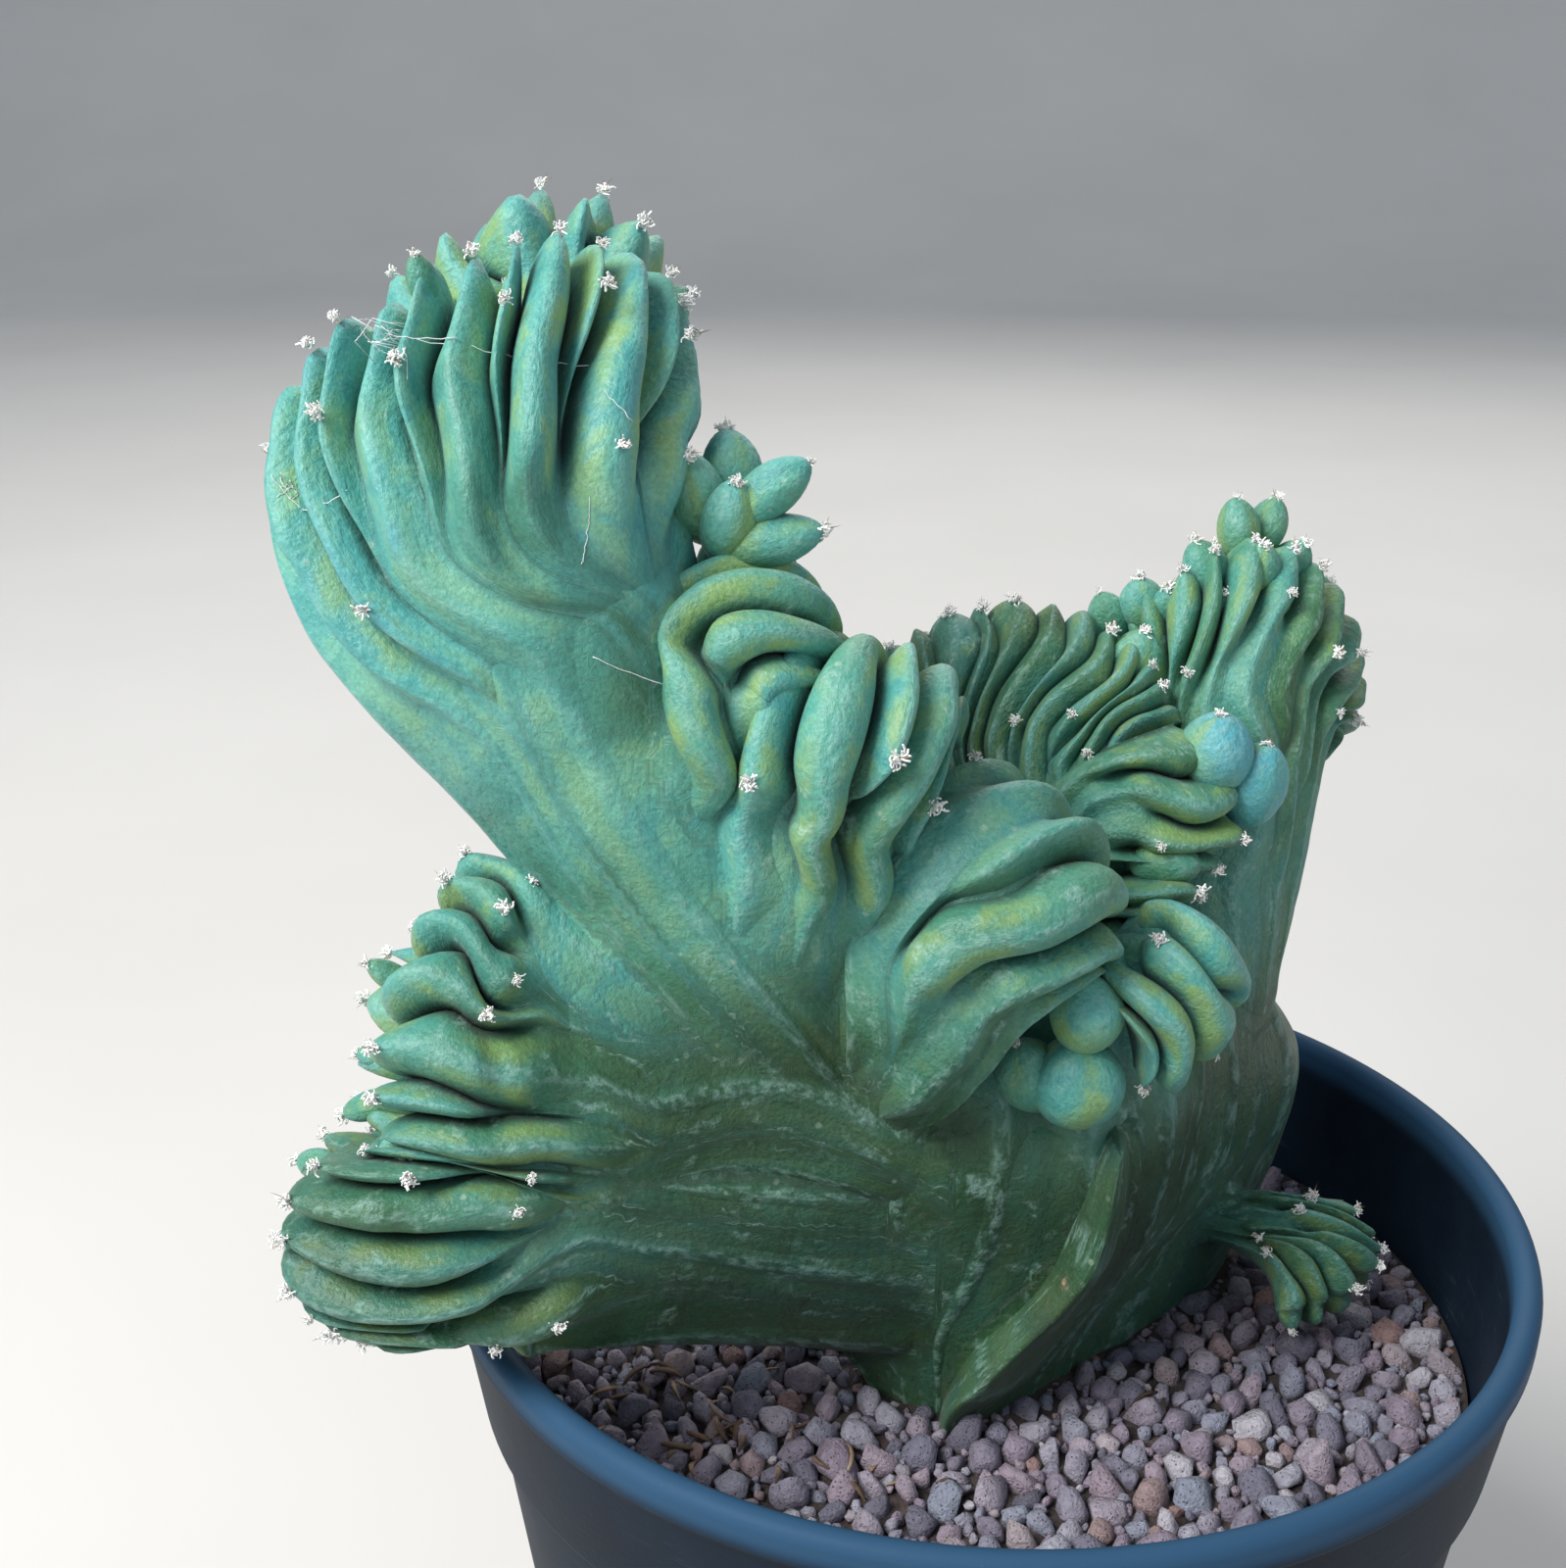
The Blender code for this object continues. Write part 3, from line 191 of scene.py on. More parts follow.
class Fan:
    """A lobe of the plant: a cage of rows from its root to its growing edge, and its ribs.

    half: half its thickness along its growth; starts: where each rib rises out of the crease
    between its neighbours, 0 root, 1 edge; relief: how deep the creases between fingers are.
    weights, tongues, fullness: how wide each rib is, where its tongue begins and how much of
    a finger it becomes; steps: where the stepped ones are stepped.
    """

    def __init__(self, name, cage, half, starts, relief, **more):
        self.name = name
        self.cage = cage
        self.half = half
        self.starts = starts
        self.relief = relief
        for key, usual in FAN_DEFAULTS.items():
            setattr(self, key, more.get(key, usual))
        draw = random.Random(self.seed)
        count = len(starts)
        even = [1 + self.uneven * draw.uniform(-1, 1) for _ in range(count)]
        self.front_weights = np.array(more.get("weights", even))
        self.back_weights = np.array([1 + self.uneven * draw.uniform(-1, 1) for _ in range(count)])
        self.depths = np.array([draw.uniform(0.8, 1.2) for _ in range(count + 1)])
        low, high = self.tongue_range
        tongues = [max(draw.uniform(low, high), start + 0.04) for start in starts]
        self.tongues = np.array(more.get("tongues", tongues))
        self.fullness = np.array(more.get("fullness", [1.0] * count))
        steps = more.get("steps", {})
        self.steps = np.array([steps.get(rib, NEVER) for rib in range(count)])
        self.phase = draw.uniform(0.0, 1.0)
        self.phases = np.array([draw.uniform(0.0, 1.0) for _ in range(count + 1)])


STEM = Fan(
    "stem",
    [
        [
            (-6, -4, STEM_FOOT), (-4, -6, STEM_FOOT), (0, -8, STEM_FOOT),
            (7, -2, STEM_FOOT), (18, 8, STEM_FOOT),
        ],
        [(-10, -5, 75), (-7, -8, 75), (-1, -9, 75), (8, -2, 75), (28, 14, 75)],
        [(-17, -6, 85), (-11, -9, 84), (2, -10, 84), (12, 0, 85), (33, 17, 86)],
        [(-22, -5, 97), (-12, -11, 95), (6, -10, 93), (17, 1, 95), (34, 18, 97)],
        [(-26, -6, 108), (-13, -11, 107), (7, -9, 104), (16, 3, 108), (27, 15, 108)],
        [(-24, -6, 118), (-12, -8, 118), (5, -3, 119), (13, 5, 121), (23, 13, 120)],
    ],
    [5.0, 5.2, 5.6, 6.4, 7.4, 6.0],
    [0.0] * 9,
    0.0,
    weights=[1.2, 1.0, 0.9, 0.8, 1.0, 0.8, 1.0, 1.1, 1.3],
    tongues=[NEVER] * 9,
    cap=0.14,
    ridge=1.7,
    wander=0.1,
    rise=-0.45,
    emerge=(1.0, 2.0),
    **PLAIN,
)

KEEL = Fan(
    "keel",
    [
        [(5, -1, STEM_FOOT), (5, -2, 76), (9, -2, 90), (10, -2, 106)],
        [(2, -6, STEM_FOOT), (1, -9, 76), (7, -10, 90), (10, -10, 106)],
        [(0, -11, STEM_FOOT), (-5, -18, 75), (-0.6, -20.4, 83), (7.4, -20, 93), (10, -19, 105)],
    ],
    [6.0, 4.4, 1.5],
    [0.0, 0.0, 0.0],
    0.0,
    tongues=[NEVER] * 3,
    cap=0.2,
    side_power=8,
    ridge=0.6,
    rise=-0.3,
    emerge=(1.0, 2.0),
    **PLAIN,
)

FANS = [
    STEM,
    KEEL,
    Fan(
        "upper_lobe",
        [
            [(-15, -7, 96), (-8, -8, 99), (-2, -7, 102)],
            [(-29, -12, 117), (-24, -15, 122), (-18, -12, 127)],
            [(-43, -10, 136), (-38, -14, 140), (-33, -15, 146), (-30, -8, 149)],
            [(-57, -8, 151), (-50, -13, 157), (-42, -15, 161), (-37, -13, 162), (-35, -4, 160)],
            [
                (-61, -4, 163), (-55, -6, 172), (-46, -6, 178),
                (-39, -4, 179), (-35, 0, 175), (-34, 3, 166),
            ],
        ],
        [6.0, 7.0, 8.5, 9.5, 8.5],
        [0.0, 0.0, 0.6, 0.76, 0.0, 0.76, 0.66, 0.8, 0.68, 0.82, 0.67, 0.8, 0.68, 0.78, 0.0, 0.6],
        2.5,
        weights=[2.2, 1.3, 1.0, 0.9, 1.6, 0.8, 1.6, 0.7, 1.3, 0.7, 1.5, 0.8, 1.4, 0.8, 1.6, 0.8],
        tongues=[
            NEVER, 0.62, 0.65, 0.81, 0.7, 0.81, 0.7, 0.84,
            0.71, 0.86, 0.7, 0.84, 0.71, 0.82, 0.72, 0.66,
        ],
        fullness=[0.1, 0.45, 0.6, 0.9, 0.3, 1.0, 0.5, 1.0, 1.0, 1.0, 1.0, 1.0, 1.0, 0.9, 0.3, 0.7],
        steps={1: 0.8, 8: 0.76, 11: 0.82, 12: 0.84},
        seed=4,
        cap=0.15,
        rise=-0.6,
        emerge=(0.58, 0.74),
        front_turn=50,
        tooth_front=2.0,
        tooth_back=2.6,
        groove=2.6,
        lift=1.4,
        ridge=1.5,
        sway=0.0,
        wander=0.12,
    ),
    Fan(
        "rear_crest",
        [
            [(-46, -9, 150), (-41, -9, 149), (-35, -9, 149)],
            [(-53, 2, 169), (-43, 4, 172), (-33, 5, 167)],
            [
                (-56, 4, 171), (-50, 5, 177), (-44, 5, 182),
                (-37, 5, 183), (-31, 6, 179), (-28, 7, 172),
            ],
        ],
        [6.5, 7.0, 6.0],
        [0.3, 0.0, 0.2, 0.0, 0.3, 0.0, 0.2],
        2.0,
        seed=14,
        cap=0.3,
        uneven=0.5,
        tongue_range=(0.2, 0.5),
        tooth_front=2.4,
        tooth_back=2.4,
        groove=1.4,
        sway=0.08,
    ),
    Fan(
        "lower_lobe",
        [
            [(-5, -11, 96), (-8, -12, 104), (-12, -9, 112)],
            [(-24, -17, 102), (-27, -16, 112), (-29, -12, 122)],
            [(-38, -25, 103), (-42, -23, 111), (-43, -19, 120), (-39, -12, 128)],
            [(-46, -28, 106), (-52, -26, 110), (-54, -23, 117), (-51, -18, 125), (-46, -11, 130)],
        ],
        [6.0, 6.5, 8.0, 7.6],
        [0.0, 0.62, 0.5, 0.72, 0.0, 0.6, 0.66, 0.7, 0.0],
        2.2,
        weights=[1.2, 0.7, 1.3, 0.7, 1.4, 0.8, 1.3, 0.7, 1.6],
        tongues=[0.6, 0.66, 0.55, 0.7, 0.6, 0.66, 0.62, 0.7, 0.66],
        steps={2: 0.78, 4: 0.74},
        seed=11,
        cap=0.24,
        sway=0.09,
        **LOW_EDGE,
    ),
    Fan(
        "lower_bulge",
        [
            [(-3, -7, 76), (2, -8, 89), (1, -7, 99)],
            [(-23, -14.5, 85), (-25, -18, 96), (-25, -18, 106)],
            [(-42, -23, 94.5), (-46, -26, 99), (-46, -26, 106), (-44, -24, 111)],
            [
                (-45, -27, 94), (-53, -28, 94.5), (-59, -27, 98),
                (-61, -26, 104), (-57, -25, 110), (-51, -25, 112),
            ],
        ],
        [4.6, 6.4, 8.0, 8.0],
        [0.0, 0.62, 0.5, 0.72, 0.0, 0.6, 0.56, 0.68, 0.0],
        2.2,
        weights=[1.7, 0.7, 1.3, 0.7, 1.2, 0.8, 1.4, 0.7, 1.2],
        seed=15,
        cap=0.26,
        uneven=0.3,
        tongues=[0.6, 0.66, 0.5, 0.7, 0.6, 0.62, 0.55, 0.7, 0.62],
        steps={2: 0.76, 6: 0.78},
        sway=-0.08,
        **LOW_EDGE,
    ),
    Fan(
        "shoulder_roll",
        [
            [(-29, -7, 127), (-24, -7, 127)],
            [(-30, -15, 141), (-27, -19, 142), (-24, -16, 141)],
            [(-29, -13, 150), (-25, -18, 150), (-22, -17, 147)],
            [(-24, -11, 153), (-21, -16, 152), (-20, -16, 147)],
            [(-19, -8, 151), (-17, -11, 148), (-17, -13, 143)],
        ],
        [4.0, 4.6, 5.0, 4.6, 4.0],
        [0.0, 0.2, 0.0, 0.45, 0.0, 0.3],
        2.0,
        seed=3,
        cap=0.2,
        tongue_range=(0.2, 0.45),
        tooth_front=0.3,
    ),
    Fan(
        "front_fold",
        [
            [(-28, -7, 114), (-19, -7, 112), (-10, -6, 113)],
            [(-27, -14, 128), (-20, -17, 128), (-12, -15, 127)],
            [(-25, -16, 138), (-18, -19, 139), (-9, -16, 136)],
            [(-22, -15, 144), (-15, -18, 145), (-8, -14, 141)],
            [(-18, -9, 144), (-12, -10, 144), (-4, -7, 139)],
        ],
        [3.5, 5.4, 6.4, 6.2, 5.0],
        [0.0, 0.5, 0.0, 0.0, 0.55, 0.0, 0.4],
        2.4,
        weights=[1.1, 0.8, 1.3, 1.0, 0.7, 1.5, 1.0],
        tongues=[0.42, 0.6, 0.5, 0.3, 0.6, 0.28, 0.5],
        seed=8,
        cap=0.2,
        tooth_front=0.4,
        lift=1.1,
        ridge=1.4,
    ),
    Fan(
        "right_fold",
        [
            [(-12, -6, 106), (-8, -8, 102)],
            [(-13, -12, 119), (-9, -17, 116), (-6, -15, 109)],
            [(-11, -12, 128), (-6, -19, 126), (-1, -17, 117)],
            [(-6, -9, 134), (0, -17, 131), (3, -17, 121)],
            [(-1, -4, 133), (5, -10, 129), (6, -12, 124), (4, -13, 119)],
        ],
        [3.0, 6.0, 7.2, 6.8, 5.0],
        [0.0, 0.0, 0.6, 0.35, 0.0, 0.0],
        1.8,
        weights=[1.2, 1.5, 0.7, 1.0, 1.2, 1.1],
        tongues=[0.7, 0.72, 0.74, 0.4, 0.5, 0.6],
        fullness=[0.5, 0.4, 0.8, 1.0, 0.8, 0.6],
        seed=5,
        emerge=(0.1, 0.5),
        cap=0.2,
        tooth_front=0.3,
        lift=1.0,
        ridge=1.4,
    ),
    Fan(
        "side_curtain",
        [
            [(3, 3, 130), (4, 1, 123)],
            [(9, 0, 136), (11, -2, 131), (10, -2, 127)],
            [(16, 0, 139), (20, -2, 134), (21, -3, 129), (18, -4, 125)],
        ],
        [3.8, 5.0, 4.4],
        [0.0, 0.0, 0.35, 0.0],
        1.9,
        seed=17,
        cap=0.3,
        tongue_range=(0.35, 0.6),
        tooth_front=0.4,
        tooth_back=0.6,
        groove=1.0,
    ),
    Fan(
        "inner_fold",
        [
            [(6, 2, 122), (7, 0, 116)],
            [(11, -5, 126), (11, -6, 120)],
            [(17, -6, 126), (16, -8, 122), (13, -8, 119)],
        ],
        [3.6, 4.2, 3.8],
        [0.0, 0.3, 0.0],
        1.7,
        seed=7,
        cap=0.3,
        tongue_range=(0.3, 0.5),
        tooth_front=0.3,
        tooth_back=0.4,
        groove=0.9,
    ),
    Fan(
        "small_crest",
        [
            [(14, -8, 123), (11, -11, 120), (8, -12, 117)],
            [(17, -11, 123), (13, -16, 120), (10, -17, 117)],
            [(21, -10, 119), (17, -14, 115), (14, -16, 112), (11, -16, 112)],
        ],
        [3.6, 4.6, 4.0],
        [0.0, 0.3, 0.0, 0.0],
        2.0,
        seed=6,
        cap=0.3,
        tongue_range=(0.1, 0.3),
        tooth_front=0.3,
        tooth_back=0.4,
        groove=0.8,
    ),
    Fan(
        "back_ridge",
        [
            [(-2, 4, 124), (3, 3, 121), (8, 2, 122)],
            [(-8, 9, 133), (-1, 8, 133), (6, 5, 134), (12, 3, 134)],
            [(-14, 13, 138), (-5, 16, 144), (6, 14, 146), (14, 8, 143), (17, 3, 138)],
        ],
        [5.0, 5.4, 5.0],
        [0.0, 0.4, 0.0, 0.5, 0.0, 0.3, 0.0, 0.45, 0.0, 0.5, 0.0, 0.4, 0.0],
        0.9,
        seed=9,
        fullness=[0.5, 0.7, 0.4, 0.7, 0.4, 0.8, 0.5, 0.8, 0.6, 1.0, 0.8, 1.0, 0.8],
        cap=0.32,
        tongue_range=(0.2, 0.5),
        tooth_front=0.0,
        tooth_back=0.0,
        groove=0.2,
        lift=0.5,
        sway=0.05,
    ),
    Fan(
        "right_lobe",
        [
            [(17, 8, 108), (22, 9, 106), (26, 15, 104)],
            [(16, 9, 126), (22, 8, 125), (28, 15, 118)],
            [(16, 11, 137), (23, 9, 138), (31, 17, 132)],
            [
                (13, 15, 144), (18, 14, 148), (23, 15, 151), (28, 17, 149),
                (33, 20, 142), (34, 22, 134), (32, 22, 126),
            ],
        ],
        [6.0, 7.0, 6.6, 5.6],
        [0.0, 0.5, 0.0, 0.6, 0.3, 0.0, 0.6, 0.0, 0.5, 0.0, 0.65, 0.0, 0.6],
        1.4,
        seed=10,
        cap=0.16,
        tongue_range=(0.6, 0.85),
        front_turn=50,
        tooth_front=1.2,
        tooth_back=1.5,
        groove=1.5,
    ),
    Fan(
        "offset",
        [
            [(23, 6, 82.0), (22, 7, 86)],
            [(28, -1, 81.4), (31, 0, 84.0), (30, 4, 87.0)],
            [(28, -8, 80.9), (34, -6, 81.2), (39, -1, 82.6), (37, 3, 87.0)],
        ],
        [4.0, 4.1, 3.2],
        [0.0, 0.35, 0.0, 0.3, 0.0, 0.35, 0.0],
        1.6,
        seed=12,
        cap=0.3,
        tongue_range=(0.3, 0.6),
        tooth_front=0.4,
        tooth_back=0.4,
        groove=0.8,
    ),
]

# Bulbs: centre, radius and length of each, then the way that it points
BULBS = [
    ((9.5, 3.0, 121.5), 6.5, 9.0, (0.0, 0.0, 1.0)),
    ((-23.0, -8.5, 154.5), 4.6, 6.0, (0.0, -0.2, 1.0)),
    ((-26.8, -11.5, 162.0), 2.6, 4.2, (-0.3, -0.2, 1.0)),
    ((-24.2, -13.5, 160.5), 2.4, 3.8, (0.2, -0.3, 1.0)),
    ((-20.8, -13.0, 163.0), 2.2, 4.0, (0.9, -0.1, 0.7)),
    ((-20.8, -13.5, 159.0), 2.2, 4.4, (1.0, 0.0, 0.2)),
    ((-24.0, -8.0, 163.5), 2.6, 3.6, (-0.2, 0.5, 1.0)),
    ((-21.5, -18.0, 146.0), 2.0, 3.2, (0.7, -0.6, 0.6)),
    ((-19.0, -15.5, 149.0), 1.9, 2.8, (0.8, -0.3, 0.5)),
    ((19.0, -2.5, 137.0), 3.5, 3.8, (0.0, -0.2, 1.0)),
    ((22.8, -1.5, 133.6), 3.2, 4.2, (0.2, -0.2, 1.0)),
    ((6.2, -18.4, 119.0), 3.3, 3.7, (-0.1, -0.1, 1.0)),
    ((5.8, -18.0, 112.0), 4.2, 4.4, (0.0, -0.2, 1.0)),
    ((1.8, -16.6, 112.0), 3.1, 3.6, (-0.4, -0.2, 1.0)),
    ((10.4, -14.0, 122.0), 2.2, 2.8, (0.6, -0.6, 0.5)),
    ((14.5, -6.0, 127.5), 2.2, 3.2, (1.0, -0.3, 0.1)),
    ((13.0, -9.0, 124.5), 1.8, 2.4, (0.6, -0.7, 0.2)),
    ((11.2, 13.0, 145.0), 2.0, 2.6, (-0.4, 0.0, 1.0)),
    ((13.0, 8.0, 141.5), 3.0, 4.0, (0.2, -0.2, 1.0)),
    ((14.3, 12.5, 146.4), 2.3, 2.8, (-0.2, -0.2, 1.0)),
    ((16.6, 11.0, 146.6), 1.7, 2.4, (-0.2, -0.5, 1.0)),
    ((18.8, 9.6, 144.8), 1.5, 2.0, (0.0, -0.8, 0.6)),
    ((20.0, 12.0, 150.0), 2.2, 3.0, (-0.4, 0.0, 1.0)),
    ((23.2, 14.0, 153.4), 2.1, 3.0, (-0.1, 0.0, 1.0)),
    ((26.4, 16.0, 153.2), 2.0, 2.8, (0.3, 0.0, 1.0)),
    ((24.6, 11.2, 150.2), 2.3, 3.0, (0.1, -0.5, 1.0)),
    ((28.4, 15.0, 149.6), 2.1, 2.8, (0.6, -0.3, 1.0)),
    ((26.2, 10.8, 147.0), 1.7, 2.4, (0.2, -0.8, 0.6)),
    ((29.4, 13.4, 145.4), 1.6, 2.2, (0.5, -0.8, 0.4)),
    ((31.8, 16.0, 141.8), 1.5, 2.0, (0.8, -0.6, 0.3)),
    ((21.4, 10.2, 146.6), 1.8, 2.6, (-0.1, -0.7, 0.8)),
    ((31.0, 17.0, 146.0), 2.0, 2.6, (0.9, 0.1, 0.6)),
    ((33.0, 20.0, 140.5), 1.8, 2.4, (1.0, 0.0, 0.3)),
    ((34.0, 21.5, 133.5), 1.7, 2.4, (1.0, 0.0, 0.1)),
]


def smooth_step(low, high, value):
    t = np.clip((value - low) / (high - low), 0, 1)
    return t * t * (3 - 2 * t)


def curve_weights(count, share):
    """How much each of a smooth curve's points counts at shares 0..1 of its length."""
    spans = count - 1
    place = np.asarray(share, float) * spans
    span = np.clip(np.floor(place), 0, spans - 1)
    f = place - span
    near = (
        -0.5 * f + f**2 - 0.5 * f**3,
        1 - 2.5 * f**2 + 1.5 * f**3,
        0.5 * f + 2 * f**2 - 1.5 * f**3,
        -0.5 * f**2 + 0.5 * f**3,
    )
    weights = np.zeros(f.shape + (count + 2,))
    for k, part in enumerate(near):
        index = (span.astype(int) + k)[..., None]
        np.put_along_axis(weights, index, part[..., None], -1)
    # A point beyond either end lies on the line through the last two
    inner = weights[..., 1:-1]
    inner[..., 0] += 2 * weights[..., 0]
    inner[..., 1] -= weights[..., 0]
    inner[..., -1] += 2 * weights[..., -1]
    inner[..., -2] -= weights[..., -1]
    return inner


def middle(fan, u, v):
    """Points of the fan's middle sheet, u across from the left, v from root to edge."""
    rows = [curve_weights(len(row), u) @ np.array(row, float) for row in fan.cage]
    return np.einsum("...j,j...c->...c", curve_weights(len(fan.cage), v), np.array(rows))


def creases(fan, v, back):
    """Where the creases lie across the fan: shares 0..1, a last axis of one more than the ribs."""
    place = v[..., None]
    starts = np.array(fan.starts)
    opening = smooth_step(starts + OPENING[0], starts + OPENING[1], place)
    weights = fan.front_weights * (1 - back[..., None]) + fan.back_weights * back[..., None]
    edges = np.cumsum(weights * (HIDDEN_WIDTH + (1 - HIDDEN_WIDTH) * opening), axis=-1)
    edges = np.concatenate([np.zeros_like(edges[..., :1]), edges], axis=-1)
    edges = edges / edges[..., -1:]
    widths = np.diff(edges, axis=-1)
    room = np.minimum(widths[..., 1:], widths[..., :-1])
    wave = np.sin(2 * math.pi * (WANDER_WAVES * place + fan.phases[1:-1]))
    edges[..., 1:-1] += fan.wander * room * wave
    wave = np.sin(2 * math.pi * (SWAY_WAVES * place + fan.phase))
    return edges + fan.sway * wave * 4 * edges * (1 - edges)


def pick(values, index):
    """From each row of values, the one at its index."""
    return np.take_along_axis(values, index[..., None], -1)[..., 0]


def fingers_beside(fan, v):
    """How far the fuller of the two ribs beside each crease has become a finger."""
    fingers = finger_share(fan, np.arange(len(fan.starts)), v[..., None], 1.0)
    between = np.maximum(fingers[..., 1:], fingers[..., :-1])
    return np.concatenate([fingers[..., :1], between, fingers[..., -1:]], axis=-1)


def skin(fan, rib, x, v, angle):
    """A point of the fan's skin and the way it faces.

    rib: which rib; x: -1 and 1 in its creases, 0 on its crest; angle: 0 on the front face,
    90 degrees on the growing edge, 180 degrees on the back.
    """
    lines = creases(fan, v, smooth_step(*BACK_TURN, angle))
    left, right = pick(lines, rib), pick(lines, rib + 1)
    u = left + (right - left) * (x + 1) / 2
    point = middle(fan, u, v)
    across = middle(fan, u + NUDGE, v) - middle(fan, u - NUDGE, v)
    growth = middle(fan, u, v + NUDGE) - middle(fan, u, v - NUDGE)
    normal = np.cross(across, growth)
    normal /= np.linalg.norm(normal, axis=-1, keepdims=True) + TINY
    growth /= np.linalg.norm(growth, axis=-1, keepdims=True) + TINY
    half = curve_weights(len(fan.half), v) @ np.array(fan.half, float)
    closing = np.sqrt(np.clip(1 - np.abs(2 * u - 1) ** fan.side_power, 0, 1))
    outward = np.cos(angle)[..., None] * normal + np.sin(angle)[..., None] * growth

    size = np.abs(x)
    ridges = fan.ridge * smooth_step(*RIDGE_START, v)
    depth = ridges[..., None] + fan.relief * fan.depths * fingers_beside(fan, v)
    left_deep, right_deep = pick(depth, rib), pick(depth, rib + 1)
    crease = np.where(x < 0, left_deep, right_deep)
    own = finger_share(fan, rib, v, size)
    sharp = 1 - (1 - size) ** RIDGE_SHARPNESS
    plump = 1 - (1 - size ** ROUNDING[0]) ** ROUNDING[1]
    slope = sharp * (1 - own) + plump * own
    risen = rib_risen(fan, rib, v)
    swell = 1 + SWELLING * np.sin(2 * math.pi * (SWELLING_WAVES * v + fan.phases[rib]))
    peak = fan.lift * swell * own - (1 - risen) * (left_deep + right_deep) / 2
    past = v - fan.steps[rib]
    peak += STEP_HEIGHT * np.tanh(past / STEP_SLOPE) * np.exp(-np.abs(past) / STEP_REACH)
    height = peak * (1 - slope) - crease * slope
    teeth = fan.tooth_front * bump(angle, fan.front_turn) + fan.tooth_back * bump(angle, BACK_TOOTH)
    height += teeth * (1 - size) ** TOOTH_SHARPNESS * risen
    height -= fan.groove * bump(angle, 90)
    side = np.cos(angle)[..., None] * normal
    point = point + side * (half * closing)[..., None] + outward * (height * closing)[..., None]
    return point, outward


def bump(angle, degrees):
    """1 at an angle given in degrees, falling off on both sides of it."""
    return np.exp(-(((np.degrees(angle) - degrees) / TOOTH_WIDTH) ** 2))


def rib_risen(fan, rib, v):
    """0 where a rib is still hidden in the crease between its neighbours, 1 where it stands out."""
    start = np.array(fan.starts)[rib]
    return np.where(start > 0, smooth_step(start + RISING[0], start + RISING[1], v), 1)


def finger_share(fan, rib, v, size):
    """0 on the smooth lower part of a rib, 1 on its plump finger beyond the tongue."""
    tip = fan.tongues[rib] + TONGUE_POINT * size**2
    full = fan.fullness[rib] * rib_risen(fan, rib, v)
    return full * smooth_step(tip + TONGUE[0], tip + TONGUE[1], v)


def fan_grid(fan, stations, rows, cap_angles):
    """Rib, place in the rib, share of the growth and angle of every point of a fan's skin."""
    count = len(fan.starts)
    rib = np.repeat(np.arange(count), len(stations))
    x = np.tile(np.array(stations), count)
    rib = np.append(rib, count - 1)
    x = np.append(x, 1.0)
    turn = np.radians(np.array(cap_angles, float))
    face = np.linspace(0, 1 - fan.cap, rows, endpoint=False)
    v = np.concatenate([face, 1 - fan.cap + fan.cap * np.sin(turn), face[::-1]])
    angle = np.concatenate([np.zeros(rows), turn, np.full(rows, math.pi)])
    shape = (len(v), len(x))
    return (
        np.broadcast_to(rib, shape),
        np.broadcast_to(x, shape),
        np.broadcast_to(v[:, None], shape),
        np.broadcast_to(angle[:, None], shape),
    )


def bare_fan(fan):
    """The lobe without ribs: level with their crests at its root, deep below its fingers."""
    place = np.linspace(0, 1, FLESH_ROWS)
    full = curve_weights(len(fan.half), place) @ np.array(fan.half, float)
    depth = (fan.rise + fan.relief + FLESH_DEPTH) * smooth_step(*fan.emerge, place)
    half = np.maximum(full + fan.rise - depth, THINNEST)
    one_rib = {"cap": fan.cap, "side_power": fan.side_power, "tongues": [NEVER], "ridge": 0.0}
    return Fan(fan.name, fan.cage, half, [0.0], 0.0, **one_rib, **PLAIN)


# The skin round a few points of the plant: how blue its waxy bloom is, from 0 leaf green to
# 1 turquoise, and how old it is, from 0 fresh and pale to 1 dark, partly painted shade on the
# lower body and its right and back sides
SKIN_POINTS = [
    ((-50, -8, 165), 1.05, 0.0), ((-60, -6, 152), 1.15, 0.0), ((-42, -12, 145), 1.1, 0.0),
    ((-36, -14, 160), 1.0, 0.0), ((-30, -16, 130), 0.65, 0.05), ((-26, -18, 113), 0.25, 0.85),
    ((-18, -14, 110), 0.25, 0.9), ((-8, -14, 100), 0.2, 0.9), ((0, -16, 85), 0.2, 0.78),
    ((10, -12, 95), 0.2, 0.95), ((-50, -20, 118), 0.8, 0.2), ((-40, -16, 112), 0.3, 0.65),
    ((-56, -26, 102), 0.55, 0.75), ((-30, -20, 98), 0.25, 0.85), ((-20, -18, 90), 0.25, 0.85),
    ((-24, -16, 150), 0.65, 0.15), ((-16, -17, 135), 0.55, 0.35), ((-4, -16, 122), 0.85, 0.25),
    ((12, -14, 118), 0.85, 0.2), ((16, -4, 130), 0.55, 0.3), ((0, 10, 138), 0.6, 0.6),
    ((22, 12, 145), 0.55, 0.2), ((30, 18, 120), 0.4, 0.5), ((34, 0, 84), 0.5, 0.45),
    ((22, 10, 95), 0.15, 0.95), ((-20, 6, 110), 0.4, 0.55), ((-36, -20, 140), 0.75, 0.0),
]
# How far a point of the skin reaches, in millimetres
SKIN_BLEND = 3.0

# Bulbs: how blue some are, by their place in the list, and how all are drawn
BULB_BLOOM = {9: 1.5, 10: 1.5, 11: 0.8, 1: 0.8, 2: 0.6, 3: 0.6, 4: 0.7, 5: 0.7}
BULB_SEED = 31
BULB_SIDES = 24
BULB_RINGS = 14
BULB_LEAN = 0.12
BULB_SEAM = 0.1
BULB_TAPER = 0.16
# How old the bulbs' skin is, which also sets how much painted shade they take
BULB_AGE_AND_SHADE = 0.12
BULB_TIP = 0.96

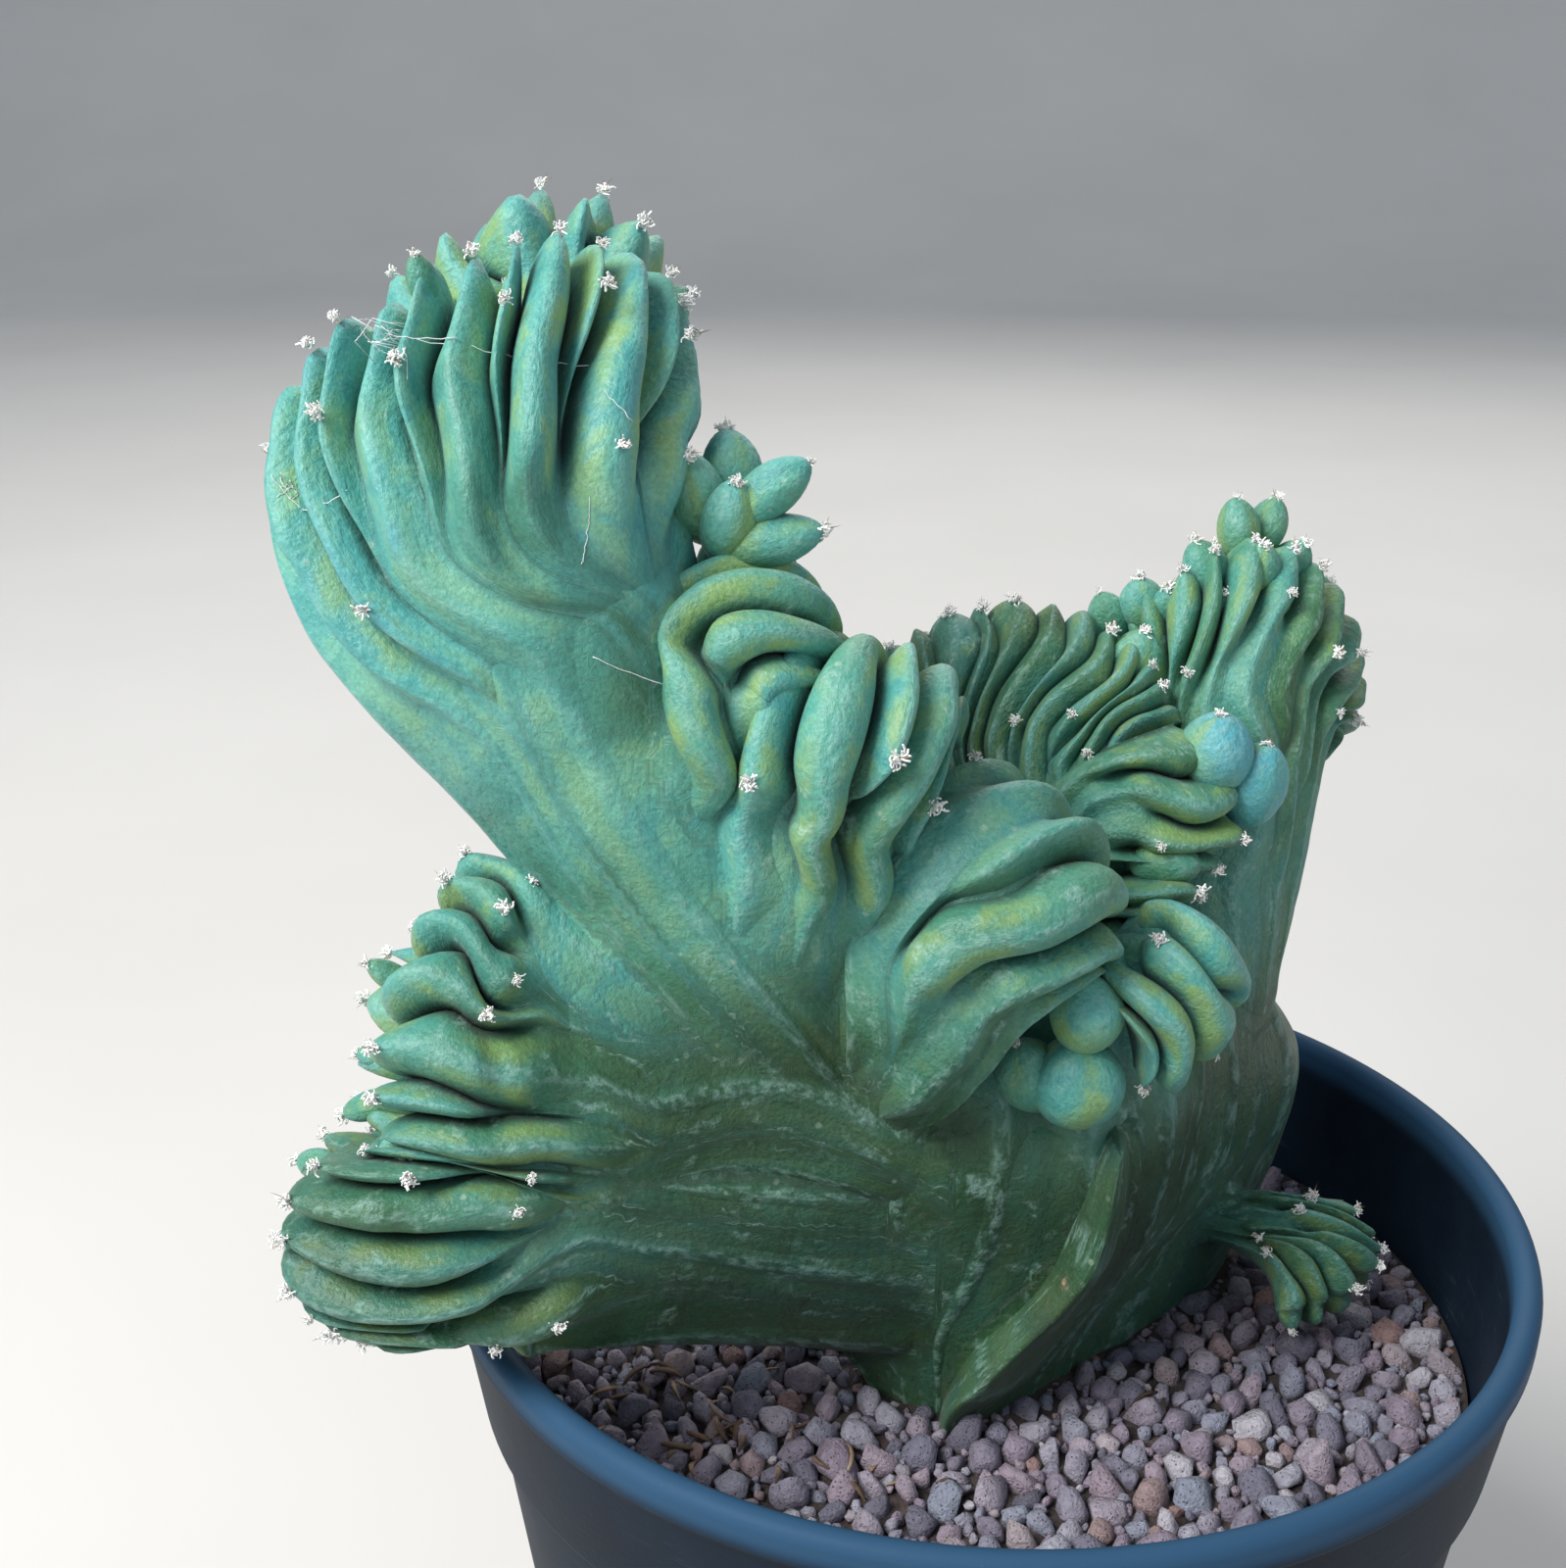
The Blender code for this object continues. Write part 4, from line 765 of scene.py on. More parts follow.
# Nubs on the growing edges: the lobe and how many it has, then their size and place
NUBS = [("lower_lobe", 6), ("lower_bulge", 6), ("upper_lobe", 4)]
NUB_SIZE = (1.0, 1.5)
NUB_TURN = (50, 125)
NUB_SEED = 43

# What the skin carries, and its soft swellings in millimetres
SKIN_WAVE = 0.16
UNEVEN_LENGTHS = (7.0, 5.0, 3.6, 2.6)
TONE_SEED = 40
# How much of the painted crease shade the flesh under the ribs takes
FLESH_CREASE_SHADE = 0.45
SKIN_VALUES = ("crest", "fold", "finger", "tone")

# Wool and spines, in millimetres: how many, how they curl and lean, how far from the middle of
# an areole they stand, and how often an areole has them
WOOL_FIBRES = 38
WOOL_LENGTH = 0.62
WOOL_RADIUS = 0.07
WOOL_CURL = ((0, 0, 0), (0.6, 0.1, 0.45), (0.05, 0.45, 0.8))
WOOL_LEAN = 1.3
WOOL_SPOT = 0.26
WOOL_SEED = 5
SPINES = 3
SPINE_LENGTH = 1.0
SPINE_RADIUS = 0.055
SPINE_LEAN = 0.75
SPINE_SPOT = 0.25
SPINE_SEED = 15
FIBRE_SIZES = (0.6, 1.3)
TOOTH_ODDS = 0.62
TONGUE_ODDS = 0.55
AREOLE_SIZE = (0.7, 1.35)
AREOLE_SEED = 21

# Stones: their shape, then each layer's least and greatest size, count and lift in
# millimetres, and how they keep clear of each other and the wall and sink beside the stem
STONE_KINDS = 9
STONE_CORNERS = 26
STONE_STRETCH = ((0.85, 1.25), (0.75, 1.0), (0.55, 0.85))
STONE_WEAR = (0.85, 1.08)
STONE_LAYERS = ((1.6, 2.5, 520, -0.6), (1.0, 1.6, 1000, -0.4), (0.55, 1.0, 2200, 0.1))
STONE_TRIES = 24
STONE_CLOSENESS = 0.66
STONE_REACH = 1.15
STONE_LIFT = 0.55
STEM_GAP = 0.8
STONE_SEED = 7
SINK_REACH = 5.0
SINK = 0.9

# Cobweb threads on the skin: where each starts and ends, in millimetres, and how slack it is,
# then patches of threads: the middle, the reach and the count of each
COBWEBS = [
    ((-50.8, -17.2, 176.2), (-34.8, -15.4, 173.4), 0.2),
    ((-50.8, -17.2, 176.2), (-44.2, -18.0, 176.0), 0.3),
    ((-48.6, -18.2, 175.2), (-48.7, -19.1, 172.8), 0.1),
    ((-60.4, -15.0, 164.6), (-57.8, -16.5, 162.3), 0.3),
    ((-57.8, -16.5, 162.3), (-55.4, -19.0, 163.3), 0.3),
    ((-55.4, -19.0, 163.3), (-53.5, -19.5, 164.5), 0.1),
    ((-34.6, -23.5, 152.3), (-29.0, -21.8, 149.4), 0.1),
    ((-33.5, -18.4, 172.0), (-31.7, -19.0, 169.6), 0.2),
    ((-34.5, -22.1, 164.6), (-34.7, -22.1, 162.2), 0.4),
    ((-34.7, -22.1, 162.2), (-35.4, -22.6, 159.4), 0.4),
]
COBWEB_PATCHES = [((-50.8, -17.2, 176.2), 1.5, 9), ((-59.4, -15.5, 163.6), 1.3, 6)]
COBWEB_RADIUS = 0.042
COBWEB_STEPS = 12
COBWEB_SHAKE = 0.035
COBWEB_GAP = 0.06
PATCH_SLACK = 0.2
COBWEB_SEED = 17

# Dry brown scraps on the grit: the middle of each drift in millimetres, its reach and its count
SCRAP_DRIFTS = [
    ((-33, -13), 7.0, 34), ((-23, -20), 7.0, 34), ((-12, -25), 5.0, 14), ((19, -12), 5.0, 10),
]
SCRAP_LENGTH = (1.4, 4.2)
SCRAP_WIDTH = (0.25, 0.7)
SCRAP_THICKNESS = 0.18
SCRAP_SPANS = 4
SCRAP_BEND = 0.35
SCRAP_ARCH = 0.22
SCRAP_TILT = 2.0
SCRAP_FALL = 90.0
SCRAP_SEED = 29

# Studio, in metres: a floor that sweeps up into a backdrop, the sky and the lamps
FLOOR_FRONT = -3.0
FLOOR_BACK = 1.3
FLOOR_SIDE = 5.0
SWEEP = 0.9
SWEEP_STEPS = 16
BACKDROP_TOP = 3.0
SKY_COLOUR = (0.78, 0.87, 1.0, 1)
SKY_STRENGTH = 0.42
LIT_POINT = (0, 0, 0.12)
# Lights: name, place, size, power and colour
LIGHTS = [
    ("key", (-0.60, -0.40, 0.85), 0.55, 16.5, (1.0, 0.98, 0.95)),
    ("fill", (0.75, -0.75, 0.50), 1.0, 1.4, (0.88, 0.94, 1.0)),
    ("back", (0.15, 0.80, 0.70), 0.8, 4.0, (1.0, 0.97, 0.92)),
]


# Node trees: the numbers in them are Amounts, which are added and multiplied as numbers are


def fill(tree, made, inputs):
    """Sets a node's inputs: an amount or a socket is linked, and any other value is set."""
    for key, value in inputs.items():
        value = getattr(value, "socket", value)
        if isinstance(value, bpy.types.NodeSocket):
            tree.links.new(value, made.inputs[key])
        else:
            made.inputs[key].default_value = value


def node(tree, kind, inputs=None, **settings):
    made = tree.nodes.new(kind)
    for name, value in settings.items():
        setattr(made, name, value)
    fill(tree, made, inputs or {})
    return made


class Amount:
    """A number that a tree works out."""

    def __init__(self, tree, socket):
        self.tree = tree
        self.socket = socket

    def reckon(self, way, second, third=0.0):
        made = node(self.tree, "ShaderNodeMath", {0: self, 1: second, 2: third}, operation=way)
        return Amount(self.tree, made.outputs[0])

    def __add__(self, other):
        return self.reckon("ADD", other)

    def __sub__(self, other):
        return self.reckon("SUBTRACT", other)

    def __mul__(self, other):
        return self.reckon("MULTIPLY", other)

    def __truediv__(self, other):
        return self.reckon("DIVIDE", other)

    def scaled(self, by, plus):
        return self.reckon("MULTIPLY_ADD", by, plus)

    def at_most(self, other):
        return self.reckon("MINIMUM", other)

    def at_least(self, other):
        return self.reckon("MAXIMUM", other)

    def spread(self, low, high, to_low=0.0, to_high=1.0):
        """Its range low..high brought to another range, and held inside it."""
        made = node(
            self.tree, "ShaderNodeMapRange",
            {"Value": self, "From Min": low, "From Max": high, "To Min": to_low, "To Max": to_high},
            interpolation_type="SMOOTHSTEP",
        )
        return Amount(self.tree, made.outputs["Result"])


class Finish:
    """A material as it is built up. place: the point on the piece, in metres."""

    def __init__(self, name):
        self.material = bpy.data.materials.new(name)
        self.material.use_nodes = True
        self.tree = self.material.node_tree
        self.tree.nodes.clear()
        self.shader = self.add("ShaderNodeBsdfPrincipled")
        self.add("ShaderNodeOutputMaterial", {"Surface": self.shader.outputs["BSDF"]})
        self.place = self.add("ShaderNodeTexCoord").outputs["Object"]

    def add(self, kind, inputs=None, **settings):
        return node(self.tree, kind, inputs, **settings)

    def amount(self, socket):
        return Amount(self.tree, socket)

    def carried(self, name):
        """The number that a piece carries at every point under a name."""
        return self.amount(self.add("ShaderNodeAttribute", attribute_name=name).outputs["Fac"])

    def grain(self, scale, detail=3.0, roughness=0.5, distortion=0.0, place=None):
        made = self.add(
            "ShaderNodeTexNoise",
            {"Vector": self.place if place is None else place, "Scale": scale, "Detail": detail,
             "Roughness": roughness, "Distortion": distortion},
        )
        return self.amount(made.outputs["Fac"])

    def dots(self, scale, middle, rim):
        """Round dots: 1 within their middle, 0 outside their rim."""
        cells = {"Vector": self.place, "Scale": scale}
        made = self.add("ShaderNodeTexVoronoi", cells, feature="F1")
        return self.amount(made.outputs["Distance"]).spread(rim, middle)

    def ramp(self, value, stops):
        """A ramp of colours, each stop a place and a colour."""
        made = self.add("ShaderNodeValToRGB", {0: value})
        band = made.color_ramp
        while len(band.elements) < len(stops):
            band.elements.new(0.5)
        for element, (place, colour) in zip(band.elements, stops):
            element.position = place
            element.color = (*colour, 1.0)
        return made.outputs["Color"]

    def paint(self, share, under, over, way="MIX"):
        """One colour laid over another by a share."""
        over = (*over, 1.0) if isinstance(over, tuple) else over
        layers = {0: share, 6: under, 7: over}
        return self.add("ShaderNodeMix", layers, data_type="RGBA", blend_type=way).outputs[2]

    def shaded(self, colour, shade):
        grey = self.add("ShaderNodeCombineColor", {0: shade, 1: shade, 2: shade}).outputs[0]
        return self.paint(1.0, colour, grey, "MULTIPLY")

    def done(self, colour, roughness, relief=None, **more):
        """The finished material. relief: a height, how strong it is and how deep in metres."""
        inputs = {"Base Color": colour, "Roughness": roughness}
        for name, value in more.items():
            inputs[SHADER_INPUTS[name]] = value
        if relief:
            settings = dict(zip(("Height", "Strength", "Distance"), relief))
            inputs["Normal"] = self.add("ShaderNodeBump", settings).outputs["Normal"]
        fill(self.tree, self.shader, inputs)
        return self.material


SHADER_INPUTS = {
    "sheen": "Sheen Weight", "sheen_roughness": "Sheen Roughness", "gloss": "Specular IOR Level",
}

# Colours of the skin
LEAF_GREENS = (
    (0.30, (0.030, 0.115, 0.045)), (0.5, (0.055, 0.200, 0.082)), (0.70, (0.115, 0.300, 0.120)),
)
BLOOM_BLUES = (
    (0.28, (0.042, 0.255, 0.250)), (0.5, (0.085, 0.365, 0.335)), (0.74, (0.165, 0.480, 0.415)),
)
DEEP_BLUE = (0.070, 0.330, 0.380)
FLANK_OLIVE = (0.230, 0.370, 0.085)
BAND_OLIVE = (0.200, 0.370, 0.105)
# Old skin, laid on darker; it also paints shade on the lower body and its right and back sides
OLD_SKIN_AND_SHADE = (0.15, 0.17, 0.12)
# Painted shade laid into the creases between the ribs
PAINTED_CREASE_SHADE = (0.008, 0.036, 0.018)
PALE_WAX = (0.290, 0.480, 0.420)
PALE_DOT = (0.430, 0.560, 0.420)
CORK_BROWNS = ((0.35, (0.205, 0.110, 0.055)), (0.65, (0.430, 0.300, 0.215)))

# Corky scars on the skin: place and size in millimetres
SCARS = [
    ((-11.5, -19.0, 131.5), 1.5),
    ((4.5, -19.5, 92.5), 1.6),
    ((-28.5, -18.0, 126.0), 1.3),
]


def skin_finish():
    """Waxy skin: leaf green under a blue bloom, olive flanks, old skin darkened partly as painted
    shade, painted shade in the creases, pale wax on crests.
    """
    coat = Finish("waxy_skin")
    crest, fold, finger, bloom, tone, age = (
        coat.carried(name) for name in ("crest", "fold", "finger", "bloom", "tone", "age")
    )
    flow = coat.add("ShaderNodeAttribute", attribute_name="flow").outputs["Vector"]
    wide = coat.grain(70)
    patches = coat.grain(190, 4, 0.6, 0.6)
    specks = coat.grain(1500, 3, 0.6)
    streaks = coat.grain(2.6, 4, 0.62, 0.4, flow)
    threads = coat.grain(7.0, 3, 0.6, 0.2, flow)
    drift = coat.grain(0.9, 3, 0.55, 0.3, flow)

    bluer = bloom + wide.scaled(1.2, -0.6) + drift.scaled(1.3, -0.65) + tone.scaled(0.3, -0.15)
    green, blue = coat.ramp(wide, LEAF_GREENS), coat.ramp(patches, BLOOM_BLUES)
    colour = coat.paint(bluer.spread(0.0, 1.0), green, blue)
    colour = coat.paint(bluer.spread(1.0, 1.4), colour, DEEP_BLUE)

    # Olive on the flanks of the fingers and in bands on the young skin, then the old skin darkened,
    # partly as painted shade on the lower body and its right and back sides
    flank = crest.spread(0.04, 0.3) * crest.spread(0.95, 0.5)
    olive = flank * (patches + drift).spread(0.85, 1.15) * finger.scaled(0.5, 0.25)
    colour = coat.paint(olive, colour, FLANK_OLIVE)
    bands = drift.spread(0.50, 0.66) * age.spread(0.55, 0.1) * patches.spread(0.36, 0.56)
    colour = coat.paint(bands * 0.34, colour, BAND_OLIVE)
    older_and_shaded = age + patches.scaled(0.5, -0.25)
    colour = coat.paint(older_and_shaded.spread(0.0, 1.15), colour, OLD_SKIN_AND_SHADE, "MULTIPLY")
    # Painted shade: the creases are darkened, most where they are deepest
    colour = coat.paint(crest.spread(0.3, 0.0) * 0.85 * fold, colour, PAINTED_CREASE_SHADE)

    # Pale wax: worn streaks along the ribs and a broken line on the crests
    wax = streaks.spread(0.54, 0.72) * specks.spread(0.3, 0.62)
    line = crest.spread(0.72, 0.98) * threads.spread(0.42, 0.62)
    wax = (wax * 0.6).at_least(line * 0.5) * older_and_shaded.spread(0.0, 0.35, 0.35, 1.0)
    colour = coat.paint(wax, colour, PALE_WAX)

    # Small pale dots and brown corky scars
    dots = coat.dots(420.0, 0.08, 0.16) * 0.35 * wide.spread(0.5, 0.62)
    colour = coat.paint(dots, colour, PALE_DOT)
    scar = scars(coat)
    colour = coat.paint(scar, colour, coat.ramp(patches, CORK_BROWNS))
    colour = coat.shaded(colour, coat.grain(2600, 3, 0.7).scaled(0.9, 0.55))

    roughness = patches.scaled(0.22, 0.36) + wax * 0.25
    roughness = (roughness + scar * 0.3).at_most(0.9)
    wrinkles = coat.grain(14.0, 4, 0.6, 0.3, flow)
    height = specks.scaled(0.42, wrinkles * 0.5) + wax * 0.25 + patches * 0.5
    return coat.done(
        colour, roughness, (height, 0.6, 0.0006), sheen=0.08, sheen_roughness=0.5
    )


def scars(coat):
    """1 on the corky scars, with ragged edges."""
    ragged = coat.grain(900, 3, 0.6)
    mask = None
    for spot, size in SCARS:
        ends = {0: coat.place, 1: tuple(c * MM for c in spot)}
        away = coat.add("ShaderNodeVectorMath", ends, operation="DISTANCE").outputs["Value"]
        away = coat.amount(away) + ragged.scaled(0.0024, -0.0012)
        scar = away.spread(size * MM, 0.55 * size * MM)
        mask = scar if mask is None else mask.at_least(scar)
    return mask


def wool_finish():
    coat = Finish("areole_wool")
    tuft = coat.grain(900)
    white = coat.ramp(tuft, (
        (0.3, (0.72, 0.71, 0.67)), (0.5, (0.88, 0.88, 0.86)), (0.8, (0.93, 0.93, 0.92)),
    ))
    return coat.done(white, tuft.scaled(0.2, 0.75), (coat.grain(6000, 2), 0.3, 0.0001), sheen=0.3)


def cobweb_finish():
    coat = Finish("cobweb")
    dust = coat.grain(2200)
    silk = coat.ramp(dust, ((0.3, (0.55, 0.62, 0.62)), (0.7, (0.86, 0.90, 0.90))))
    return coat.done(silk, dust.scaled(0.2, 0.5), (dust, 0.2, 0.00003))


def scrap_finish():
    """Dry plant scraps, tan to dark brown."""
    coat = Finish("dry_scraps")
    fibre = coat.grain(3000, 4, 0.65)
    brown = coat.ramp(coat.grain(260), (
        (0.34, (0.035, 0.022, 0.016)), (0.50, (0.095, 0.055, 0.034)),
        (0.62, (0.250, 0.165, 0.100)), (0.74, (0.400, 0.310, 0.220)),
    ))
    brown = coat.shaded(brown, fibre.scaled(1.0, 0.5))
    return coat.done(brown, fibre.scaled(0.2, 0.7), (fibre, 0.5, 0.0001))


def spine_finish():
    """Brown spines with dark tips."""
    coat = Finish("brown_spines")
    mottle = coat.grain(2500)
    brown = coat.ramp(mottle, ((0.3, (0.30, 0.19, 0.10)), (0.7, (0.52, 0.40, 0.25))))
    brown = coat.paint(coat.carried("along").spread(0.25, 0.9), brown, (0.070, 0.030, 0.015))
    return coat.done(brown, mottle.scaled(0.2, 0.4), (mottle, 0.3, 0.00005))


def stone_finish():
    """Porous grit: each stone has its own tone, with pale dust, and painted shade in its pores."""
    coat = Finish("porous_grit")
    mottle = coat.grain(900, 4, 0.65)
    fine = coat.grain(3200, 4, 0.7)
    stone = coat.ramp(coat.carried("stone_tone"), (
        (0.00, (0.150, 0.140, 0.185)), (0.14, (0.230, 0.225, 0.300)),
        (0.32, (0.330, 0.270, 0.345)), (0.50, (0.300, 0.335, 0.430)),
        (0.64, (0.400, 0.315, 0.385)), (0.78, (0.430, 0.430, 0.520)),
        (0.90, (0.340, 0.215, 0.205)), (0.96, (0.540, 0.520, 0.590)),
    ))
    stone = coat.shaded(stone, mottle.scaled(1.1, 0.45))
    stone = coat.paint(fine.spread(0.6, 0.78) * 0.35, stone, (0.48, 0.43, 0.41))
    pores = coat.dots(2100.0, 0.1, 0.22)
    # Painted shade: the pores are darkened nearly to black
    stone = coat.paint(pores * 0.6, stone, (0.03, 0.026, 0.028))
    height = mottle.scaled(1.2, fine) - pores
    return coat.done(stone, fine.scaled(0.15, 0.8), (height, 0.9, 0.0007), gloss=0.3)


def bed_finish():
    """Dark damp fines under the stones."""
    coat = Finish("dark_fines")
    coarse = coat.grain(420, 4, 0.6)
    fine = coat.grain(2600, 4, 0.7)
    earth = coat.ramp(coarse, (
        (0.30, (0.020, 0.015, 0.015)), (0.55, (0.060, 0.045, 0.043)),
        (0.80, (0.120, 0.090, 0.080)),
    ))
    earth = coat.paint(fine.spread(0.55, 0.75), earth, (0.150, 0.115, 0.095))
    return coat.done(earth, fine.scaled(0.2, 0.75), (coarse + fine, 0.8, 0.0006))


def pot_finish():
    """Blue-black moulded plastic: a painted bluish sky reflection on the lip, dull scuffs, and lime
    dust.
    """
    coat = Finish("moulded_plastic")
    apart = coat.add("ShaderNodeSeparateXYZ", {0: coat.place})
    clouds = coat.grain(55, 4, 0.6)
    specks = coat.grain(1800, 3, 0.6)
    stretch = coat.add(
        "ShaderNodeVectorMath", {0: coat.place, 1: (0.35, 0.35, 6.0)}, operation="MULTIPLY",
    ).outputs["Vector"]
    scratches = coat.grain(260, 4, 0.7, place=stretch)
    plastic = coat.ramp(clouds, (
        (0.30, (0.005, 0.010, 0.019)), (0.55, (0.009, 0.018, 0.032)),
        (0.80, (0.014, 0.027, 0.046)),
    ))
    # Painted reflection: the lip is made lighter and bluer, as the sky shows in it
    lip = coat.amount(apart.outputs[2]).spread(*LIP_REFLECTION_BAND)
    plastic = coat.paint(lip * 0.8, plastic, (0.030, 0.086, 0.165))
    scuffs = scratches.spread(0.58, 0.70) * clouds.spread(0.42, 0.6)
    plastic = coat.paint(scuffs * 0.4, plastic, (0.110, 0.120, 0.125))
    dust = specks.spread(0.62, 0.74) * clouds.spread(0.5, 0.68)
    plastic = coat.paint(dust * 0.35, plastic, (0.300, 0.290, 0.270))
    roughness = (clouds.scaled(0.25, 0.42) + scuffs * 0.2 + dust * 0.3).at_most(0.9)
    height = specks.scaled(0.5, scratches * 0.5)
    return coat.done(plastic, roughness, (height, 0.25, 0.0002), gloss=0.08)


def floor_finish():
    coat = Finish("pale_floor")
    pale = coat.ramp(coat.grain(6), ((0.3, (0.60, 0.59, 0.57)), (0.7, (0.64, 0.63, 0.61))))
    return coat.done(pale, 0.8)


# Meshes


def put(name, data):
    """A new object in the scene."""
    made = bpy.data.objects.new(name, data)
    bpy.context.scene.collection.objects.link(made)
    return made


def new_piece(name, mesh, finish):
    mesh.materials.clear()
    mesh.materials.append(finish)
    return put(name, mesh)


def carry(mesh, name, values, kind="FLOAT"):
    """Gives the mesh a number or a vector at every point."""
    layer = mesh.attributes.new(name, kind, "POINT")
    field = "value" if kind == "FLOAT" else "vector"
    layer.data.foreach_set(field, np.ascontiguousarray(values, dtype=np.float32).ravel())


def plain_mesh(name, points, faces=()):
    mesh = bpy.data.meshes.new(name)
    mesh.from_pydata(points, [], faces)
    mesh.shade_smooth()
    return mesh


def mesh_from(bm, name):
    mesh = bpy.data.meshes.new(name)
    bm.to_mesh(mesh)
    bm.free()
    return mesh


def mesh_of(name, points, faces):
    """A smooth mesh from points in metres and faces, turned so that it faces out."""
    corners = np.array([(f[0], f[1], f[2]) for f in faces])
    volume = np.einsum(
        "ij,ij->i", points[corners[:, 0]], np.cross(points[corners[:, 1]], points[corners[:, 2]])
    ).sum()
    if volume < 0:
        faces = [face[::-1] for face in faces]
    return plain_mesh(name, points.tolist(), faces)


def unevenness(points):
    """Soft swellings a few millimetres wide, from -1 to 1."""
    draw = np.random.default_rng(3)
    total = np.zeros(points.shape[:-1])
    for length in UNEVEN_LENGTHS:
        for _ in range(3):
            way = draw.normal(size=3)
            way *= 2 * math.pi / (length * np.linalg.norm(way))
            total += length / 18 * np.sin(points @ way + draw.uniform(0, 2 * math.pi))
    return total / 3


def living_skin(fan, rib, x, v, angle):
    """The fan's skin with soft swellings on it."""
    points, outward = skin(fan, rib, x, v, angle)
    return points + outward * (SKIN_WAVE * unevenness(points))[..., None], outward


def carry_skin(mesh, points):
    """Gives every point, in millimetres, the bloom of the skin there, and how old and how darkened
    by painted shade it is.
    """
    spots = np.array([spot for spot, _, _ in SKIN_POINTS], float)
    away = ((points[:, None, :] - spots[None]) ** 2).sum(axis=-1) + SKIN_BLEND**2
    weights = away**-1.5
    weights /= weights.sum(axis=-1, keepdims=True)
    carry(mesh, "bloom", weights @ np.array([bloom for _, bloom, _ in SKIN_POINTS]))
    carry(mesh, "age", weights @ np.array([age for _, _, age in SKIN_POINTS]))


def closed_rows(shape):
    """Faces that close rows of points into one skin, and which of the points they use."""
    rows, columns = shape
    index = np.arange(rows * columns).reshape(rows, columns)
    for column in (0, columns - 1):
        for i in range(rows // 2):
            index[rows - 1 - i, column] = index[i, column]
    used = np.unique(index)
    place = np.full(rows * columns, -1)
    place[used] = np.arange(len(used))
    index = place[index]
    faces = []
    for i in range(rows):
        here = index[i].tolist()
        above = index[(i + 1) % rows].tolist()
        for j in range(columns - 1):
            corners = (here[j], here[j + 1], above[j + 1], above[j])
            faces.append(tuple(dict.fromkeys(corners)))
    return faces, used


def crease_share(fan, rib, x, v):
    """How deep the crease on this side of the rib is, 1 where it is deepest: how much painted shade
    the crease gets.
    """
    deep = pick(fingers_beside(fan, v), np.where(x < 0, rib, rib + 1))
    ridges = 0.4 * fan.ridge * smooth_step(*RIDGE_START, v)
    return np.clip((ridges + fan.relief * deep) / DEEPEST_CREASE, 0, 1)


def lobe_mesh(fan):
    """A lobe as one closed skin that carries its crests, growth, tone and bloom."""
    rib, x, v, angle = fan_grid(fan, RIB_STATIONS, GROWTH_ROWS, CAP_ANGLES)
    points, _ = living_skin(fan, rib, x, v, angle)
    faces, used = closed_rows(x.shape)
    points = points.reshape(-1, 3)[used]
    mesh = mesh_of(fan.name, points * MM, faces)
    draw = random.Random(fan.seed + TONE_SEED)
    tones = np.array([draw.random() for _ in fan.starts])
    values = {
        "crest": (1 - np.abs(x)) * rib_risen(fan, rib, v),
        "fold": crease_share(fan, rib, x, v),
        "finger": finger_share(fan, rib, v, np.abs(x)),
        "tone": tones[rib],
    }
    for name, value in values.items():
        carry(mesh, name, value.ravel()[used])
    carry_skin(mesh, points)
    flow = np.stack([rib + x / 2, 5.0 * v, angle], axis=-1).reshape(-1, 3)[used]
    carry(mesh, "flow", flow, "FLOAT_VECTOR")
    carried = np.stack([values[name].ravel()[used] for name in SKIN_VALUES], axis=-1)
    return mesh, points * MM, flow, carried


def flesh_mesh(lobes):
    """The smooth flesh under the ribs, melted into one body and rounded where lobes meet."""
    bm = bmesh.new()
    for fan in FANS:
        bare = bare_fan(fan)
        rib, x, v, angle = fan_grid(bare, FLESH_STATIONS, GROWTH_ROWS, CAP_ANGLES)
        points, _ = skin(bare, rib, x, FLESH_SHARE * v, angle)
        faces, used = closed_rows(x.shape)
        part = mesh_of("bare_lobe", points.reshape(-1, 3)[used] * MM, faces)
        bm.from_mesh(part)
        bpy.data.meshes.remove(part)
    body = put("flesh", mesh_from(bm, "flesh"))
    melt = body.modifiers.new("one body", "REMESH")
    melt.mode = "VOXEL"
    melt.voxel_size = FLESH_GRAIN
    rounded = body.modifiers.new("rounded", "SMOOTH")
    rounded.factor = 0.5
    rounded.iterations = FLESH_ROUNDS
    apply_to_mesh(body)
    mesh = body.data
    bpy.data.objects.remove(body, do_unlink=True)
    points = np.empty(len(mesh.vertices) * 3, np.float32)
    mesh.vertices.foreach_get("co", points)
    points = points.reshape(-1, 3)
    # The flesh takes the grain, the tone and a share of the painted crease shade of the nearest
    # ribs
    places, flows, values = (np.concatenate(column) for column in zip(*lobes))
    near = KDTree(len(places))
    for number, point in enumerate(places.tolist()):
        near.insert(point, number)
    near.balance()
    nearest = np.array([
        [found[1] for found in near.find_n(point, FLESH_NEIGHBOURS)] for point in points.tolist()
    ])
    for name, value in zip(SKIN_VALUES, values[nearest].mean(axis=1).T):
        carry(mesh, name, value * (FLESH_CREASE_SHADE if name == "fold" else 1.0))
    carry_skin(mesh, points / MM)
    carry(mesh, "flow", flows[nearest[:, 0]], "FLOAT_VECTOR")
    mesh.shade_smooth()
    return mesh


